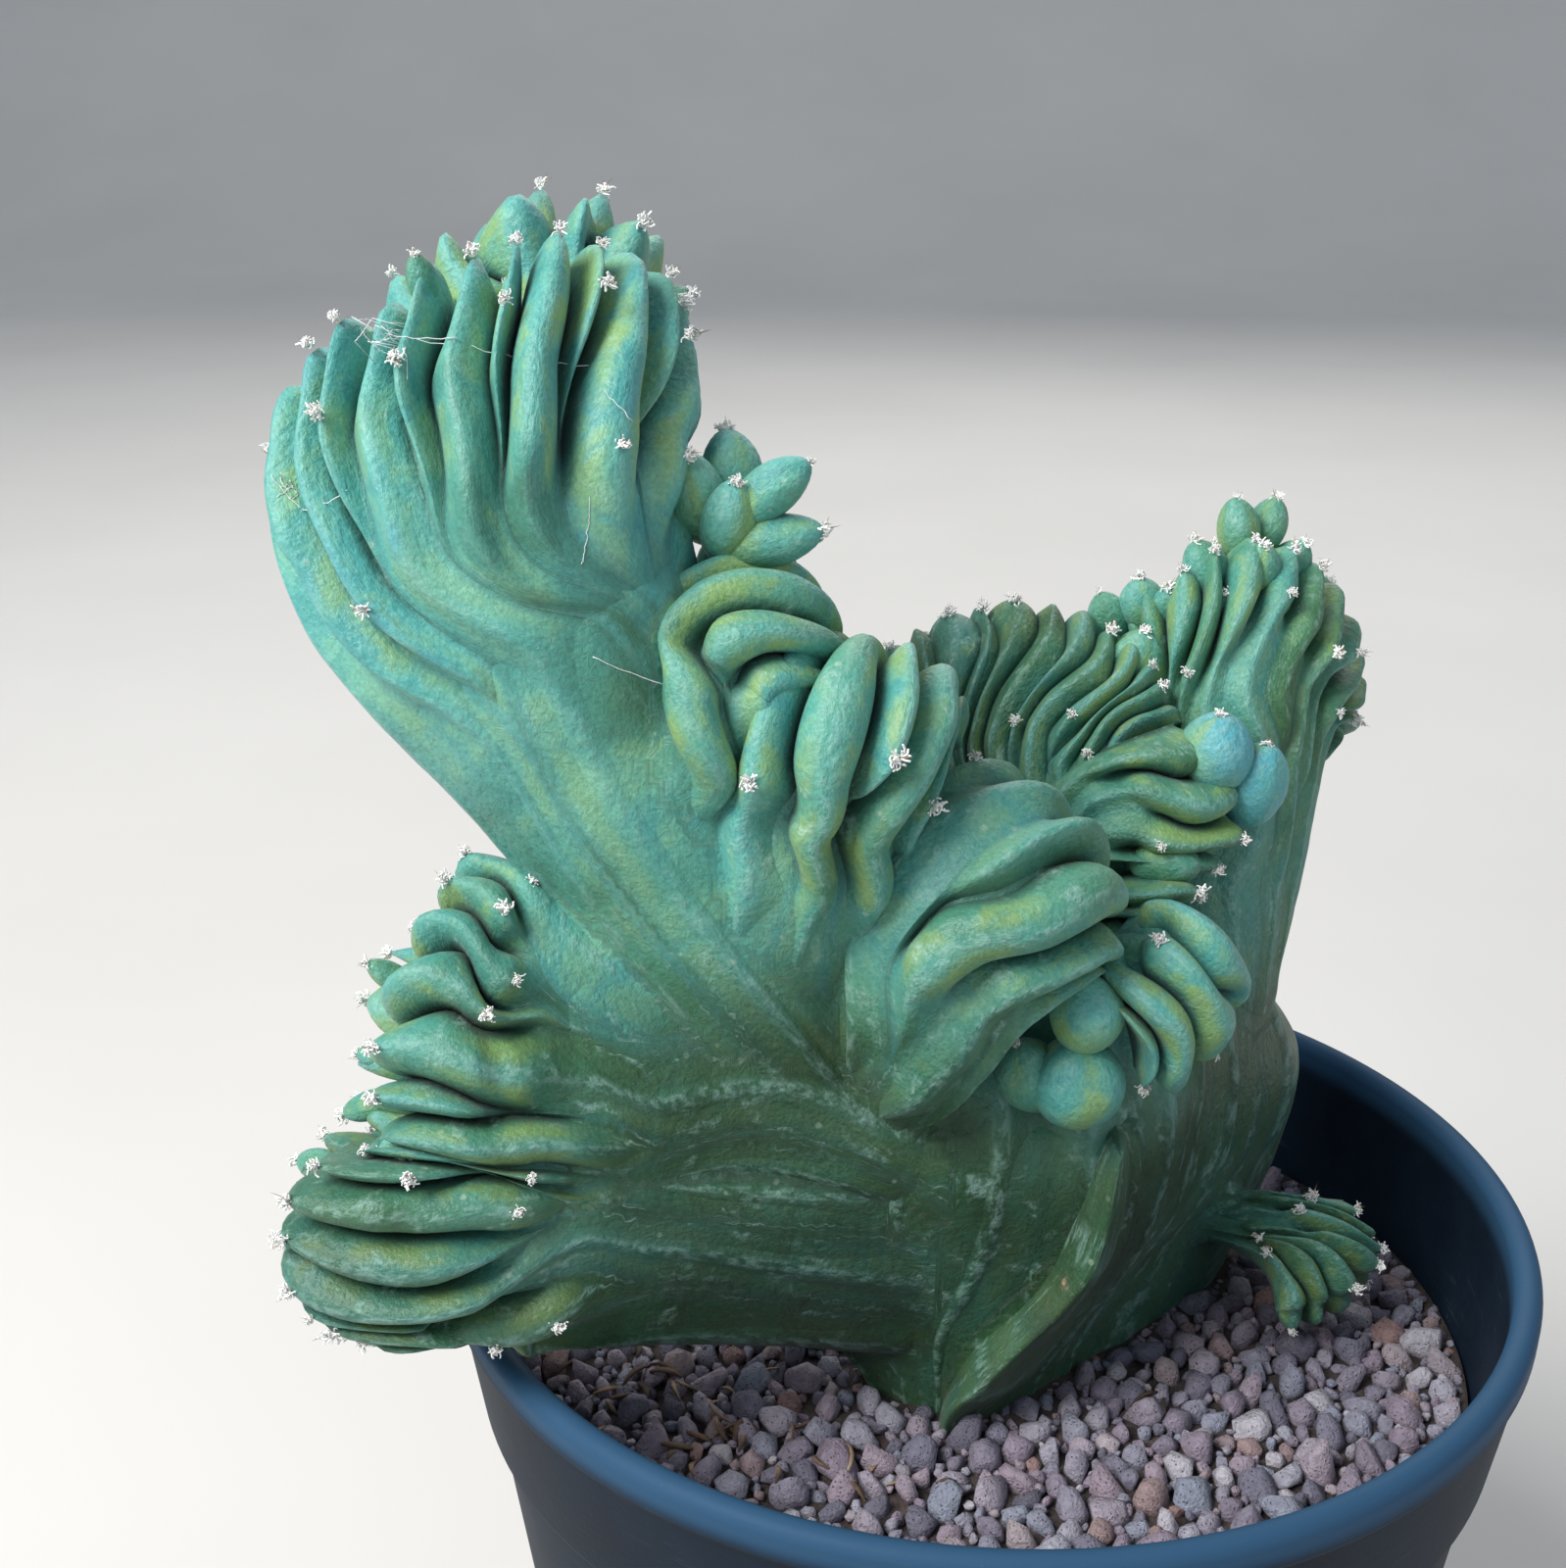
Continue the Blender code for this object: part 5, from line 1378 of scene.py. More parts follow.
def nubs():
    """Small nubs between the fingers' tips, listed as the bulbs are."""
    draw = random.Random(NUB_SEED)
    made = []
    for name, count in NUBS:
        fan = next(fan for fan in FANS if fan.name == name)
        for rib in draw.sample(range(len(fan.starts)), count):
            angle = math.radians(draw.uniform(*NUB_TURN))
            v = 1 - fan.cap + fan.cap * math.sin(angle)
            x = draw.choice((-1, 1)) * draw.uniform(0.3, 0.8)
            point, outward = skin(
                fan, np.array([rib]), np.array([x]), np.array([v]), np.array([angle])
            )
            radius = draw.uniform(*NUB_SIZE)
            length = radius * draw.uniform(1.5, 2.1)
            way = Vector(outward[0]) + Vector([draw.gauss(0, 0.2) for _ in range(3)])
            made.append((tuple(point[0]), radius, length, tuple(way)))
    return made


def bulbs_mesh():
    """The small round bulbs and nubs, each an egg with a soft seam, in one mesh."""
    bm = bmesh.new()
    named = (*SKIN_VALUES, "bloom", "age")
    layers = [bm.verts.layers.float.new(name) for name in named]
    flow = bm.verts.layers.float_vector.new("flow")
    draw = random.Random(BULB_SEED)
    for number, (centre, radius, length, direction) in enumerate(BULBS + nubs()):
        turn = Vector(direction).to_track_quat("Z", "Y").to_matrix().to_4x4()
        spin = Matrix.Rotation(draw.uniform(0, math.tau), 4, "Z")
        place = Matrix.Translation(Vector(centre) * MM) @ turn @ spin
        made = bmesh.ops.create_uvsphere(
            bm, u_segments=BULB_SIDES, v_segments=BULB_RINGS, radius=1.0
        )["verts"]
        folds = draw.choice((2, 3, 3))
        tone = draw.random()
        lean = [draw.uniform(-BULB_LEAN, BULB_LEAN) for _ in range(2)]
        bloom = BULB_BLOOM.get(number, 0.5)
        for vert in made:
            x, y, z = vert.co
            seam = abs(math.cos(folds * math.atan2(y, x) / 2)) ** 0.5
            narrow = 1 - BULB_SEAM * (1 - seam) * math.hypot(x, y) * (1 + z)
            pull = 1 - BULB_TAPER * max(z, 0) ** 2
            # crest also sets painted shade: with a crease shade of 0.5, each bulb is darkened along
            # its seams on its lower half
            crest = min(1.0, 0.35 + 0.5 * seam + 0.2 * z)
            across = radius * MM * narrow * pull
            shifted = (x + lean[0] * z * z) * across, (y + lean[1] * z * z) * across
            vert.co = place @ Vector((*shifted, z * length * MM))
            for layer, value in zip(layers, (crest, 0.5, 1.0, tone, bloom, BULB_AGE_AND_SHADE)):
                vert[layer] = value
            vert[flow] = (0.4 * x + 7 * number, 0.4 * y, 0.4 * z)
    mesh = mesh_from(bm, "bulbs")
    mesh.shade_smooth()
    return mesh


def turned_mesh(name, profile, steps):
    """A closed turned body from (radius, height) points that start and end on the axis."""
    profile = np.array(profile, float)
    count = len(profile) - 2
    turn = np.linspace(0, 2 * math.pi, steps, endpoint=False)
    rings = np.stack(
        [
            np.outer(profile[1:-1, 0], np.cos(turn)),
            np.outer(profile[1:-1, 0], np.sin(turn)),
            np.repeat(profile[1:-1, 1], steps).reshape(count, steps),
        ],
        axis=-1,
    ).reshape(-1, 3)
    points = np.concatenate([rings, [(0, 0, profile[0, 1]), (0, 0, profile[-1, 1])]])
    faces = []
    for k in range(steps):
        after = (k + 1) % steps
        faces.append((len(rings), k, after))
        faces.append((len(rings) + 1, (count - 1) * steps + after, (count - 1) * steps + k))
        for ring in range(count - 1):
            low = ring * steps
            faces.append((low + k, low + steps + k, low + steps + after, low + after))
    return mesh_of(name, points, faces)


def outer_radius(height):
    """The pot's outer radius at a height, below its collar."""
    return BASE_RADIUS + (RIM_RADIUS - LIP_WIDTH / 2 - BASE_RADIUS) * height / POT_HEIGHT


def bend_round(points, radius, steps=4):
    """A profile whose inner corners are turned into small arcs."""
    points = [Vector(point) for point in points]
    made = [points[0]]
    for before, corner, after in zip(points, points[1:], points[2:]):
        cut = min(radius, 0.45 * (before - corner).length, 0.45 * (after - corner).length)
        start = corner + (before - corner).normalized() * cut
        end = corner + (after - corner).normalized() * cut
        for k in range(steps + 1):
            t = k / steps
            made.append((1 - t) ** 2 * start + 2 * t * (1 - t) * corner + t * t * end)
    made.append(points[-1])
    return [tuple(point) for point in made]


def pot_profile():
    """The pot's outline from the middle of its floor over its lip and down to its foot."""
    collar_foot = POT_HEIGHT - COLLAR_HEIGHT
    lip_foot = POT_HEIGHT - LIP_DROP
    inner_foot = outer_radius(FLOOR) - WALL
    inner_top = outer_radius(POT_HEIGHT) - WALL
    roll = LIP_WIDTH / 2
    lip = []
    for degrees in range(-85, 90, 10):
        turn = math.radians(degrees)
        out, up = math.sin(turn), math.cos(turn)
        lip.append((RIM_RADIUS - roll + roll * out, POT_HEIGHT - roll + roll * up))
    inside_wall = bend_round([
        (0, FLOOR), (inner_foot, FLOOR), (inner_top - 0.0003, POT_HEIGHT - LIP_WIDTH), lip[0],
    ], INNER_BEND)
    outside_wall = bend_round([
        lip[-1],
        (RIM_RADIUS - 0.0001, lip_foot),
        (outer_radius(lip_foot) + COLLAR_STEP, lip_foot - 0.0005),
        (outer_radius(collar_foot) + COLLAR_STEP, collar_foot + 0.0007),
        (outer_radius(collar_foot), collar_foot),
        (outer_radius(FOOT_BEVEL), FOOT_BEVEL),
        (BASE_RADIUS - FOOT_BEVEL, 0),
        (0, 0),
    ], OUTER_BEND)
    return [*inside_wall[:-1], *lip, *outside_wall[1:]]


def make_pot(finish):
    """A thin-walled turned pot with a collar, a rolled lip and drainage holes."""
    pot = new_piece("pot_shell", turned_mesh("pot_shell", pot_profile(), POT_STEPS), finish)
    cutters = bpy.data.collections.new("drains")
    for hole in range(DRAIN_COUNT):
        turn = 2 * math.pi * (hole + 0.5) / DRAIN_COUNT
        spot = (DRAIN_RING * math.cos(turn), DRAIN_RING * math.sin(turn), 0)
        bm = bmesh.new()
        bmesh.ops.create_cone(
            bm, cap_ends=True, segments=36, radius1=DRAIN_RADIUS, radius2=DRAIN_RADIUS, depth=0.01,
            matrix=Matrix.Translation(spot),
        )
        cutters.objects.link(bpy.data.objects.new(f"drain_{hole}", mesh_from(bm, "drain")))
    bpy.context.scene.collection.children.link(cutters)
    cut = pot.modifiers.new("drains", "BOOLEAN")
    cut.operation = "DIFFERENCE"
    cut.operand_type = "COLLECTION"
    cut.collection = cutters
    apply_to_mesh(pot)
    clear_away(cutters)
    pot.data.set_sharp_from_angle(angle=math.radians(40))
    return pot


def apply_to_mesh(item):
    """The object's evaluated mesh becomes its own, and its modifiers go."""
    bpy.context.view_layer.update()
    graph = bpy.context.evaluated_depsgraph_get()
    mesh = bpy.data.meshes.new_from_object(item.evaluated_get(graph))
    item.modifiers.clear()
    item.data = mesh


def clear_away(collection):
    for item in list(collection.objects):
        bpy.data.objects.remove(item, do_unlink=True)
    bpy.data.collections.remove(collection)


def bed_height(x, y):
    """The grit lies a little higher round the stem."""
    return GRIT_TOP + GRIT_MOUND * math.cos(math.pi / 2 * min(1.0, math.hypot(x, y) / RIM_RADIUS))


def make_bed(finish):
    """The fines under the stones: a closed turned body with a lumpy top that fills the pot."""
    low = FLOOR + BED_GAP
    reach = outer_radius(GRIT_TOP) - WALL - BED_GAP
    foot = outer_radius(low) - WALL - BED_GAP
    top = [(reach * k / BED_RINGS, GRIT_TOP) for k in range(BED_RINGS + 1)]
    side = [(foot + (reach - foot) * t, low + (GRIT_TOP - low) * t) for t in (0.75, 0.5, 0.25)]
    mesh = turned_mesh("fines", [*top, *side, (foot, low), (foot / 2, low), (0, low)], BED_SIDES)
    for vert in mesh.vertices:
        x, y, z = vert.co
        if z > GRIT_TOP - 1e-6 and math.hypot(x, y) < reach - 1e-5:
            lumps = unevenness(np.array((x, y, 0)) / MM) * 0.5 * MM
            vert.co.z = bed_height(x, y) - BED_DROP + lumps
    return new_piece("fines", mesh, finish)


# What repeats: trees of Geometry Nodes

SOCKET_KINDS = (
    (int, "NodeSocketInt"), (float, "NodeSocketFloat"),
    (bpy.types.Material, "NodeSocketMaterial"), (bpy.types.Collection, "NodeSocketCollection"),
)
# Where a node of random draws takes its lowest and highest value and gives its result
DRAW_SOCKETS = {"FLOAT_VECTOR": (0, 1, 0), "FLOAT": (2, 3, 1), "INT": (4, 5, 2)}


def new_tree(name, sizes):
    """A tree with a geometry in and out and a named input for each size."""
    tree = bpy.data.node_groups.new(name, "GeometryNodeTree")
    face = tree.interface
    for way in ("INPUT", "OUTPUT"):
        face.new_socket("Geometry", in_out=way, socket_type="NodeSocketGeometry")
    for label, value in sizes.items():
        kind = next(kind for types, kind in SOCKET_KINDS if isinstance(value, types))
        face.new_socket(label.capitalize(), in_out="INPUT", socket_type=kind)
    return tree, node(tree, "NodeGroupInput").outputs


def grow(name, places, tree, sizes):
    """Runs a tree on a mesh of places and keeps the result as one plain mesh."""
    made = put(name, places)
    run = made.modifiers.new(name, "NODES")
    run.node_group = tree
    for item in tree.interface.items_tree:
        if item.in_out == "INPUT" and item.name != "Geometry":
            run[item.identifier] = sizes[item.name.lower()]
    apply_to_mesh(made)
    return made


def drawn(tree, kind, low, high, seed):
    """A number or a vector drawn for each point."""
    low_at, high_at, out_at = DRAW_SOCKETS[kind]
    limits = {low_at: low, high_at: high, "Seed": seed}
    return node(tree, "FunctionNodeRandomValue", limits, data_type=kind).outputs[out_at]


def any_way(tree, size, seed):
    return drawn(tree, "FLOAT_VECTOR", (-size, -size, -size), (size, size, size), seed)


def stored(tree, name, kind="FLOAT"):
    """The number or the vector that each place carries under a name."""
    made = node(tree, "GeometryNodeInputNamedAttribute", {"Name": name}, data_type=kind)
    return made.outputs["Attribute"]


def store(tree, geometry, name, value, domain):
    values = {"Geometry": geometry, "Name": name, "Value": value}
    kind = "GeometryNodeStoreNamedAttribute"
    return node(tree, kind, values, data_type="FLOAT", domain=domain).outputs[0]


def finish_tree(tree, inputs, instances):
    """Makes the instances real, gives them their finish, and ends the tree."""
    real = node(tree, "GeometryNodeRealizeInstances", {0: instances}).outputs[0]
    skinned = {"Geometry": real, "Material": inputs["Finish"]}
    done = node(tree, "GeometryNodeSetMaterial", skinned).outputs[0]
    node(tree, "NodeGroupOutput", {0: done})
    return tree


def scattered_fibres(tree, inputs, fibre, count, lean, spot, seed):
    """Sets fibres on every place: each leans away from the place's outward way by a random bit."""
    many = {"Geometry": inputs["Geometry"], "Amount": inputs[count]}
    doubled = node(tree, "GeometryNodeDuplicateElements", many, domain="POINT")
    moved = {"Geometry": doubled.outputs["Geometry"], "Offset": any_way(tree, spot, seed)}
    shifted = node(tree, "GeometryNodeSetPosition", moved)
    ways = {0: stored(tree, "outward", "FLOAT_VECTOR"), 1: any_way(tree, lean, seed + 1)}
    way = node(tree, "ShaderNodeVectorMath", ways, operation="ADD").outputs["Vector"]
    turn = node(tree, "FunctionNodeAlignRotationToVector", {"Vector": way}, axis="Z")
    about = {0: (0, 0, 1), 1: drawn(tree, "FLOAT", 0.0, math.tau, seed + 2)}
    about = node(tree, "FunctionNodeAxisAngleToRotation", about).outputs[0]
    spins = {0: turn.outputs[0], 1: about}
    spin = node(tree, "FunctionNodeRotateRotation", spins, rotation_space="LOCAL")
    size = Amount(tree, stored(tree, "size")) * drawn(tree, "FLOAT", *FIBRE_SIZES, seed + 3)
    placed = node(
        tree,
        "GeometryNodeInstanceOnPoints",
        {"Points": shifted.outputs[0], "Instance": fibre, "Rotation": spin.outputs[0],
         "Scale": size},
    )
    return finish_tree(tree, inputs, placed.outputs[0])


def wool_tree(sizes):
    """White wool: curly three-sided fibres in a tuft at each areole."""
    tree, inputs = new_tree("wool tufts", sizes)
    start, bend, end = WOOL_CURL
    bow = node(
        tree, "GeometryNodeCurveQuadraticBezier",
        {"Resolution": 3, "Start": start, "Middle": bend, "End": end},
    )
    long = node(tree, "ShaderNodeCombineXYZ", {axis: inputs["Length"] for axis in range(3)})
    sized = node(
        tree, "GeometryNodeTransform", {"Geometry": bow.outputs[0], "Scale": long.outputs[0]}
    )
    round_about = {"Resolution": 3, "Radius": inputs["Radius"]}
    ring = node(tree, "GeometryNodeCurvePrimitiveCircle", round_about)
    fibre = node(
        tree, "GeometryNodeCurveToMesh",
        {"Curve": sized.outputs[0], "Profile Curve": ring.outputs[0], "Fill Caps": True},
    )
    return scattered_fibres(
        tree, inputs, fibre.outputs[0], "Fibres", WOOL_LEAN, WOOL_SPOT * MM, WOOL_SEED
    )


def spine_tree(sizes):
    """Fine tapered spines, pale at the root and dark at the tip."""
    tree, inputs = new_tree("spines", sizes)
    cone = node(
        tree,
        "GeometryNodeMeshCone",
        {"Vertices": 4, "Side Segments": 3, "Radius Top": 0.0, "Radius Bottom": inputs["Radius"],
         "Depth": inputs["Length"]},
    )
    place = node(tree, "GeometryNodeInputPosition").outputs[0]
    height = node(tree, "ShaderNodeSeparateXYZ", {0: place}).outputs[2]
    along = Amount(tree, height) / inputs["Length"]
    spine = store(tree, cone.outputs["Mesh"], "along", along, "POINT")
    return scattered_fibres(
        tree, inputs, spine, "Spines", SPINE_LEAN, SPINE_SPOT * MM, SPINE_SEED
    )


def stone_tree(sizes):
    """Worn stones: one of several kinds on each place, turned and sized by its own draw."""
    tree, inputs = new_tree("grit stones", sizes)
    kinds = node(
        tree,
        "GeometryNodeCollectionInfo",
        {"Collection": inputs["Kinds"], "Separate Children": True, "Reset Children": True},
    )
    turn = node(tree, "FunctionNodeEulerToRotation", {0: any_way(tree, math.pi, 2)})
    placed = node(
        tree,
        "GeometryNodeInstanceOnPoints",
        {"Points": inputs["Geometry"], "Instance": kinds.outputs[0], "Pick Instance": True,
         "Instance Index": drawn(tree, "INT", 0, STONE_KINDS - 1, 4),
         "Rotation": turn.outputs[0], "Scale": stored(tree, "size")},
    )
    tone = drawn(tree, "FLOAT", 0.0, 1.0, 9)
    toned = store(tree, placed.outputs[0], "stone_tone", tone, "INSTANCE")
    return finish_tree(tree, inputs, toned)


def stone_kinds():
    """A few worn lumps of stone, each the hull of points drawn on a squashed ball."""
    kinds = bpy.data.collections.new("stone_kinds")
    bpy.context.scene.collection.children.link(kinds)
    draw = random.Random(STONE_SEED)
    for number in range(STONE_KINDS):
        bm = bmesh.new()
        stretch = [draw.uniform(low, high) for low, high in STONE_STRETCH]
        for _ in range(STONE_CORNERS):
            way = Vector([draw.gauss(0, 1) for _ in range(3)]).normalized()
            way = way * draw.uniform(*STONE_WEAR)
            bm.verts.new([c * s for c, s in zip(way, stretch)])
        hull = bmesh.ops.convex_hull(bm, input=bm.verts)
        loose = [item for item in hull["geom_interior"] if isinstance(item, bmesh.types.BMVert)]
        bmesh.ops.delete(bm, geom=loose, context="VERTS")
        for face in bm.faces:
            face.smooth = True
        bmesh.ops.recalc_face_normals(bm, faces=bm.faces)
        name = f"stone_{number}"
        kinds.objects.link(bpy.data.objects.new(name, mesh_from(bm, name)))
    return kinds


def tree_of(mesh):
    """A search tree over a mesh."""
    return BVHTree.FromPolygons(
        [vert.co for vert in mesh.vertices], [face.vertices[:] for face in mesh.polygons]
    )


def inside(search, point):
    """Whether a point lies inside a closed mesh: a line from it goes out more often than in."""
    way = Vector((0.31, -0.47, 0.83)).normalized()
    left = 0
    start = point
    hit, normal, _, _ = search.ray_cast(start, way)
    while hit is not None:
        left += 1 if normal.dot(way) > 0 else -1
        start = hit + way * 1e-6
        hit, normal, _, _ = search.ray_cast(start, way)
    return left > 0


def stone_places(stem_search):
    """Places of the stones on the bed, large ones first, none inside another or in the stem."""
    draw = random.Random(STONE_SEED)
    reach = outer_radius(GRIT_TOP) - WALL
    places = []
    cells = {}
    step = 3.0 * MM
    for low, high, wanted, lift in STONE_LAYERS:
        found = 0
        for _ in range(wanted * STONE_TRIES):
            if found >= wanted:
                break
            size = draw.uniform(low, high) * MM
            around = draw.uniform(0, math.tau)
            out = (reach - STONE_REACH * size) * math.sqrt(draw.random())
            x, y = out * math.cos(around), out * math.sin(around)
            home = (int(x // step), int(y // step))
            near = [
                other
                for dx in (-1, 0, 1) for dy in (-1, 0, 1)
                for other in cells.get((home[0] + dx, home[1] + dy), ())
            ]
            if any(
                math.hypot(x - other_x, y - other_y) < STONE_CLOSENESS * (size + other_size)
                for other_x, other_y, other_size in near
            ):
                continue
            height = bed_height(x, y) - BED_DROP + STONE_LIFT * size + lift * MM
            spot = Vector((x, y, height))
            if inside(stem_search, spot):
                continue
            away = stem_search.find_nearest(spot)[3]
            if away < STEM_GAP * size:
                continue
            spot.z -= SINK * MM * max(0.0, 1 - away / (SINK_REACH * MM))
            places.append((spot, size))
            cells.setdefault(home, []).append((x, y, size))
            found += 1
    return places


def areoles(fan):
    """Where wool and spines grow: on the teeth of the growing edge, and where a tongue begins."""
    draw = random.Random(fan.seed + AREOLE_SEED)
    places = []
    for rib, tongue in enumerate(fan.tongues):
        for turn in (fan.front_turn, BACK_TOOTH):
            if draw.random() < TOOTH_ODDS:
                v = 1 - fan.cap + fan.cap * math.sin(math.radians(turn))
                places.append((rib, 0.0, v, math.radians(turn)))
        for turn in (0, 180):
            if tongue < 1 and draw.random() < TONGUE_ODDS:
                places.append((rib, 0.0, tongue + TONGUE[1], math.radians(turn)))
    rib, x, v, angle = (np.array(column) for column in zip(*places))
    points, outward = living_skin(fan, rib.astype(int), x, v, angle)
    return list(zip(points * MM, outward))


def open_areoles(searches):
    """The areoles that no other part of the plant covers: the place and outward way of each."""
    found = [
        (fan.name, Vector(point), Vector(outward))
        for fan in FANS if fan not in (STEM, KEEL)
        for point, outward in areoles(fan)
    ]
    # The first bulb is bare flesh between the lobes
    for centre, _, length, direction in BULBS[1:] + nubs():
        way = Vector(direction).normalized()
        found.append(("bulbs", (Vector(centre) + way * length * BULB_TIP) * MM, way))
    return [
        (spot, way) for own, spot, way in found
        if not any(inside(search, spot) for name, search in searches.items() if name != own)
    ]


def make_plant(finish):
    """Every lobe, the bulbs, wool and spines at the areoles, and the cobwebs."""
    pieces = []
    searches = {}
    lobes = []

    def add(name, mesh):
        searches[name] = tree_of(mesh)
        pieces.append(new_piece(name, mesh, finish))

    for fan in FANS:
        mesh, *carried = lobe_mesh(fan)
        lobes.append(carried)
        add(fan.name, mesh)
    add("flesh", flesh_mesh(lobes))
    add("bulbs", bulbs_mesh())

    places = open_areoles(searches)
    draw = random.Random(AREOLE_SEED)
    mesh = plain_mesh("areoles", [spot for spot, _ in places])
    carry(mesh, "outward", np.array([way for _, way in places]), "FLOAT_VECTOR")
    carry(mesh, "size", np.array([draw.uniform(*AREOLE_SIZE) for _ in places]))
    wool = {"fibres": WOOL_FIBRES, "length": WOOL_LENGTH * MM, "radius": WOOL_RADIUS * MM,
            "finish": wool_finish()}
    spines = {"spines": SPINES, "length": SPINE_LENGTH * MM, "radius": SPINE_RADIUS * MM,
              "finish": spine_finish()}
    pieces.append(grow("areole_wool", mesh.copy(), wool_tree(wool), wool))
    pieces.append(grow("spines", mesh.copy(), spine_tree(spines), spines))
    lines = cobweb_lines([searches["upper_lobe"], searches["flesh"]])
    cobweb = tubes_mesh("cobweb", lines, COBWEB_RADIUS * MM)
    pieces.append(new_piece("cobweb", cobweb, cobweb_finish()))
    return pieces, searches["stem"]


def lifted(spot, skins, gap):
    """A place brought out of the skins, to lie on the outermost."""
    for _ in range(2):
        for search in skins:
            hit, normal, _, away = search.find_nearest(spot)
            if away < gap or inside(search, spot):
                spot = hit + normal * gap
    return spot


def cobweb_lines(skins):
    """Threads drawn over the skins, and small patches where many threads meet."""
    draw = random.Random(COBWEB_SEED)
    ends = [(Vector(start), Vector(end), slack) for start, end, slack in COBWEBS]
    for centre, reach, count in COBWEB_PATCHES:
        for _ in range(count):
            a, b = (
                Vector(centre) + Vector([draw.gauss(0, 0.5) * reach for _ in range(3)])
                for _ in range(2)
            )
            ends.append((a, b, PATCH_SLACK))
    lines = []
    for start, end, slack in ends:
        line = []
        for k in range(COBWEB_STEPS + 1):
            share = k / COBWEB_STEPS
            bow = 4 * share * (1 - share)
            spot = start.lerp(end, share) - Vector((0, 0, slack * bow))
            spot += Vector([draw.gauss(0, COBWEB_SHAKE) for _ in range(3)])
            if k in (0, COBWEB_STEPS):
                hits = [search.find_nearest(spot * MM) for search in skins]
                spot = min(hits, key=lambda hit: hit[3])[0] / MM
            line.append(lifted(spot * MM, skins, COBWEB_GAP * MM))
        lines.append(line)
    return lines


def tubes_mesh(name, lines, radius):
    """Three-sided threads, closed at both ends, along lines of points."""
    points = []
    faces = []
    for line in lines:
        first = len(points)
        for k, spot in enumerate(line):
            way = line[min(k + 1, len(line) - 1)] - line[max(k - 1, 0)]
            turn = way.to_track_quat("Z", "Y")
            for side in range(3):
                around = math.tau * side / 3
                out = turn @ Vector((math.cos(around), math.sin(around), 0))
                points.append(spot + out * radius)
        for k in range(len(line) - 1):
            low = first + 3 * k
            for side in range(3):
                after = (side + 1) % 3
                faces.append((low + side, low + after, low + 3 + after, low + 3 + side))
        last = first + 3 * (len(line) - 1)
        faces.append((first + 2, first + 1, first))
        faces.append((last, last + 1, last + 2))
    return plain_mesh(name, points, faces)


def scrap_points(draw, search, x, y, reach):
    """The corners of one dry sliver, or nothing where it would not lie on the stones."""
    centre = (x + draw.gauss(0, 0.5) * reach, y + draw.gauss(0, 0.5) * reach, SCRAP_FALL)
    centre = Vector(centre) * MM
    turn = draw.uniform(0, math.tau)
    half = draw.uniform(*SCRAP_LENGTH) / 2 * MM
    wide = draw.uniform(*SCRAP_WIDTH) / 2 * MM
    bend = draw.uniform(-SCRAP_BEND, SCRAP_BEND) * half
    along = Vector((math.cos(turn), math.sin(turn), 0))
    across = Vector((-math.sin(turn), math.cos(turn), 0))
    down = Vector((0, 0, -1))
    ends = [search.ray_cast(centre + along * side * half, down)[0] for side in (-1, 1)]
    if None in ends or abs(ends[0].z - ends[1].z) > SCRAP_TILT * MM:
        return []
    thick = SCRAP_THICKNESS / 2 * MM
    points = []
    for k in range(SCRAP_SPANS + 1):
        share = k / SCRAP_SPANS
        spot = ends[0].lerp(ends[1], share) + Vector((0, 0, thick))
        bow = 4 * share * (1 - share)
        spot += across * bend * bow + Vector((0, 0, SCRAP_ARCH * half * bow))
        narrow = wide * (0.35 + 0.65 * bow)
        for side, up in ((-1, -1), (1, -1), (1, 1), (-1, 1)):
            points.append(spot + across * side * narrow + Vector((0, 0, up * thick)))
    return points


def scraps_mesh(stones):
    """Dry slivers that lie across the stones, each a bent strip with both ends on a stone."""
    draw = random.Random(SCRAP_SEED)
    search = tree_of(stones)
    points = []
    faces = []
    for (x, y), reach, count in SCRAP_DRIFTS:
        for _ in range(count):
            first = len(points)
            points += scrap_points(draw, search, x, y, reach)
            last = len(points) - 4
            if last < first:
                continue
            for low in range(first, last, 4):
                for side in range(4):
                    after = (side + 1) % 4
                    faces.append((low + side, low + 4 + side, low + 4 + after, low + after))
            faces.append((first, first + 1, first + 2, first + 3))
            faces.append((last + 3, last + 2, last + 1, last))
    return mesh_of("dry_scraps", np.array([tuple(point) for point in points]), faces)


def make_stones(stem_search):
    places = stone_places(stem_search)
    mesh = plain_mesh("stone_places", [spot for spot, _ in places])
    carry(mesh, "size", np.array([size for _, size in places]))
    kinds = stone_kinds()
    sizes = {"kinds": kinds, "finish": stone_finish()}
    stones = grow("stones", mesh, stone_tree(sizes), sizes)
    clear_away(kinds)
    return stones


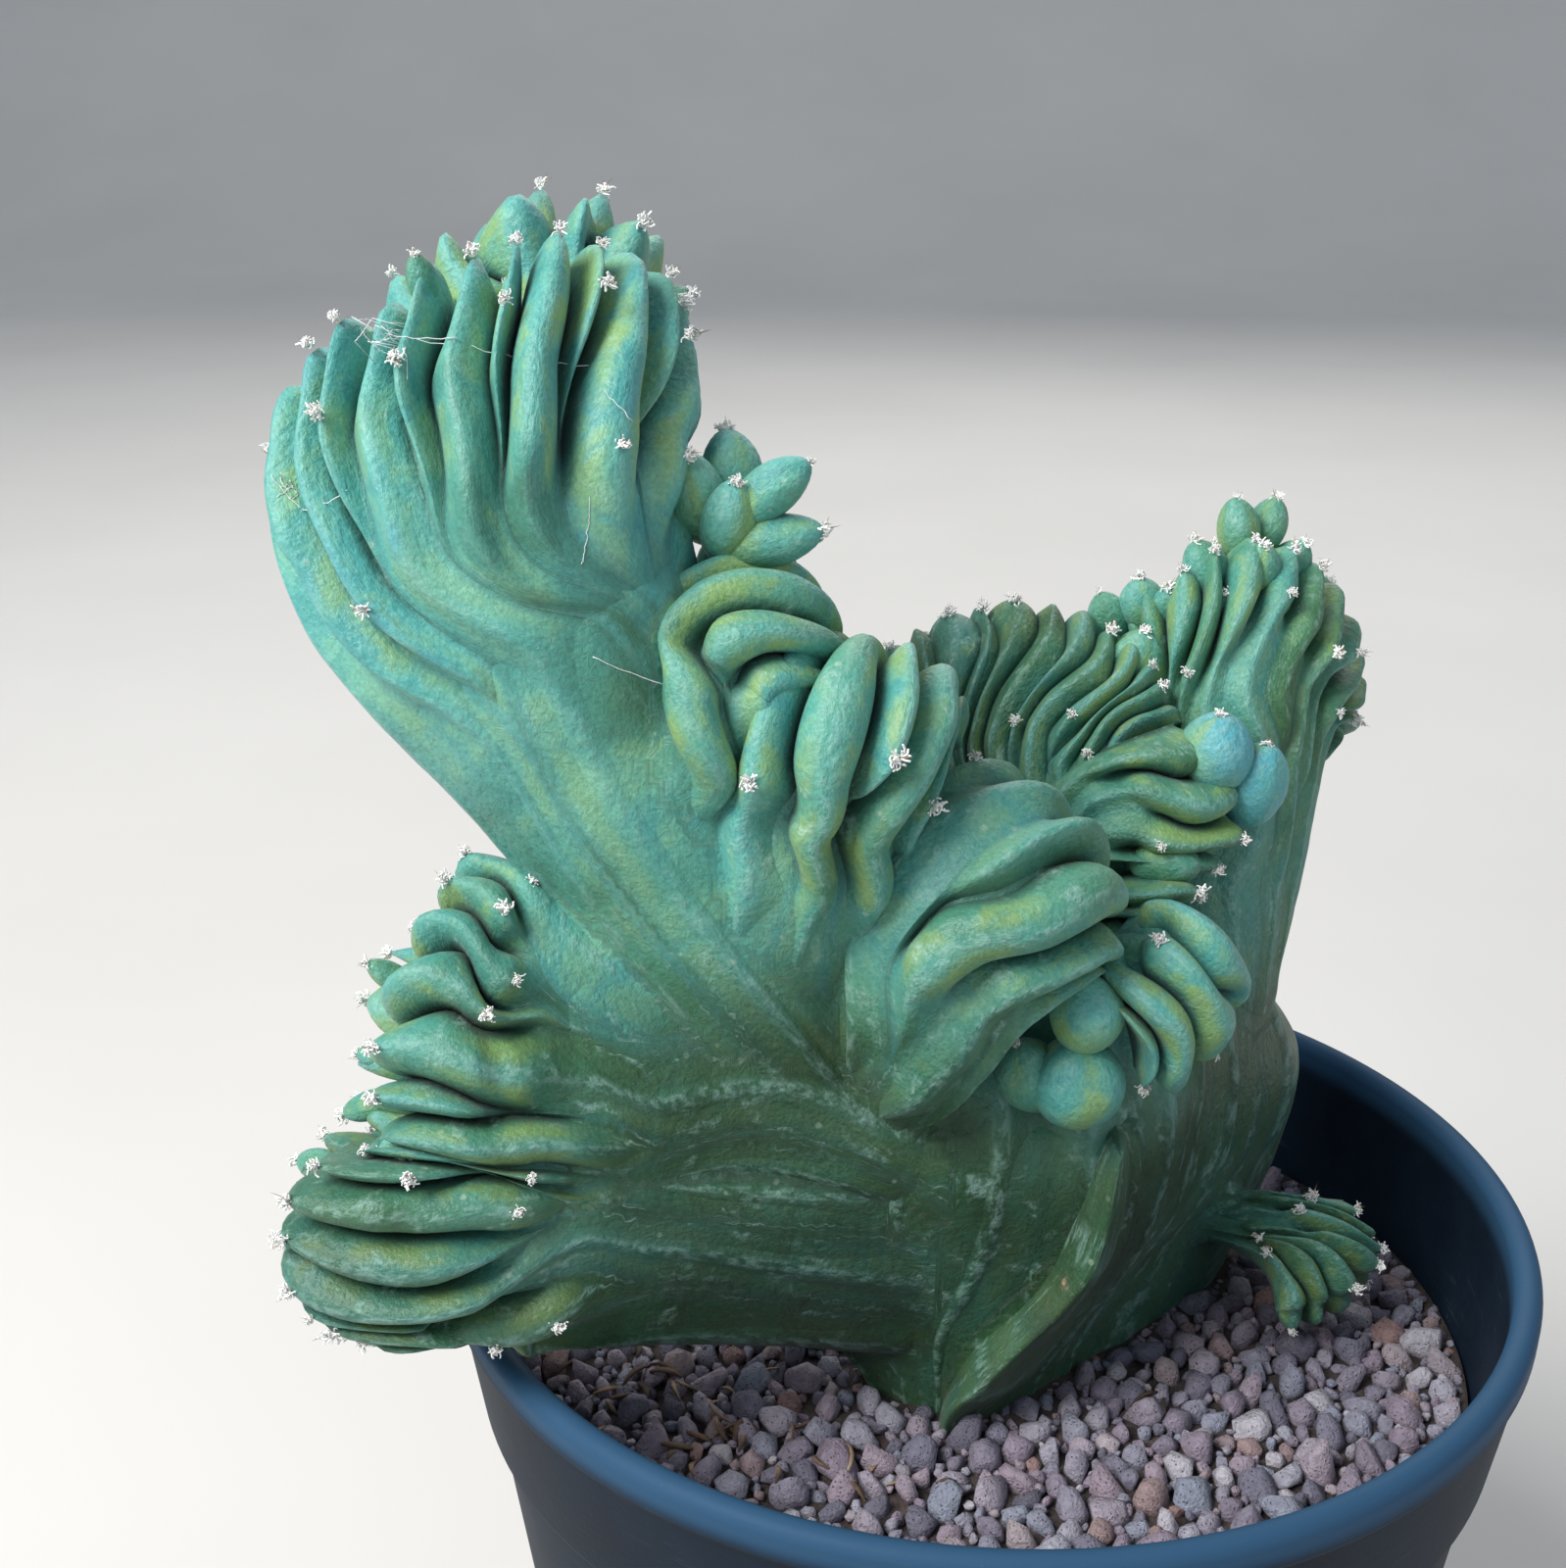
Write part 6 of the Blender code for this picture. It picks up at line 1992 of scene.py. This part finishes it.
def floor_mesh():
    """A floor that turns up into a backdrop in one smooth sweep."""
    sweep = [(FLOOR_FRONT, 0.0)]
    for k in range(SWEEP_STEPS + 1):
        turn = math.pi / 2 * k / SWEEP_STEPS
        sweep.append((FLOOR_BACK + SWEEP * math.sin(turn), SWEEP * (1 - math.cos(turn))))
    sweep.append((FLOOR_BACK + SWEEP, BACKDROP_TOP))
    points = [(side * FLOOR_SIDE, y, z) for y, z in sweep for side in (-1, 1)]
    faces = [(2 * k, 2 * k + 1, 2 * k + 3, 2 * k + 2) for k in range(len(sweep) - 1)]
    return plain_mesh("floor", points, faces)


def make_studio():
    """A pale floor, soft lights, and the camera at the photograph's angle."""
    scene = bpy.context.scene
    new_piece("floor", floor_mesh(), floor_finish())
    world = bpy.data.worlds.new("room")
    scene.world = world
    scene.view_settings.view_transform = "Standard"
    world.use_nodes = True
    sky = world.node_tree.nodes["Background"]
    sky.inputs["Color"].default_value = SKY_COLOUR
    sky.inputs["Strength"].default_value = SKY_STRENGTH
    for name, place, size, power, colour in LIGHTS:
        lamp = bpy.data.lights.new(name, "AREA")
        lamp.shape = "SQUARE"
        lamp.size = size
        lamp.energy = power
        lamp.color = colour
        made = put(name, lamp)
        made.location = place
        aim = Vector(LIT_POINT) - Vector(place)
        made.rotation_euler = aim.to_track_quat("-Z", "Y").to_euler()
    camera = bpy.data.cameras.new("camera")
    camera.sensor_fit = "HORIZONTAL"
    camera.sensor_width = SENSOR_WIDTH
    camera.lens = FOCAL_PIXELS / PICTURE_WIDTH * SENSOR_WIDTH
    camera.clip_start = 0.01
    made = put("camera", camera)
    made.location = CAMERA_PLACE
    made.rotation_euler = (math.radians(90 - CAMERA_PITCH), 0, 0)
    scene.camera = made


def set_in_place(piece, stands_for):
    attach(piece, "root")
    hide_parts(stands_for)


def main():
    plant, stem_search = make_plant(skin_finish())
    for piece in plant:
        set_in_place(piece, "cactus")
    set_in_place(make_bed(bed_finish()), "grit")
    stones = make_stones(stem_search)
    set_in_place(stones, "grit")
    scraps = new_piece("dry_scraps", scraps_mesh(stones.data), scrap_finish())
    set_in_place(scraps, "grit")
    set_in_place(make_pot(pot_finish()), "pot")
    make_studio()


main()
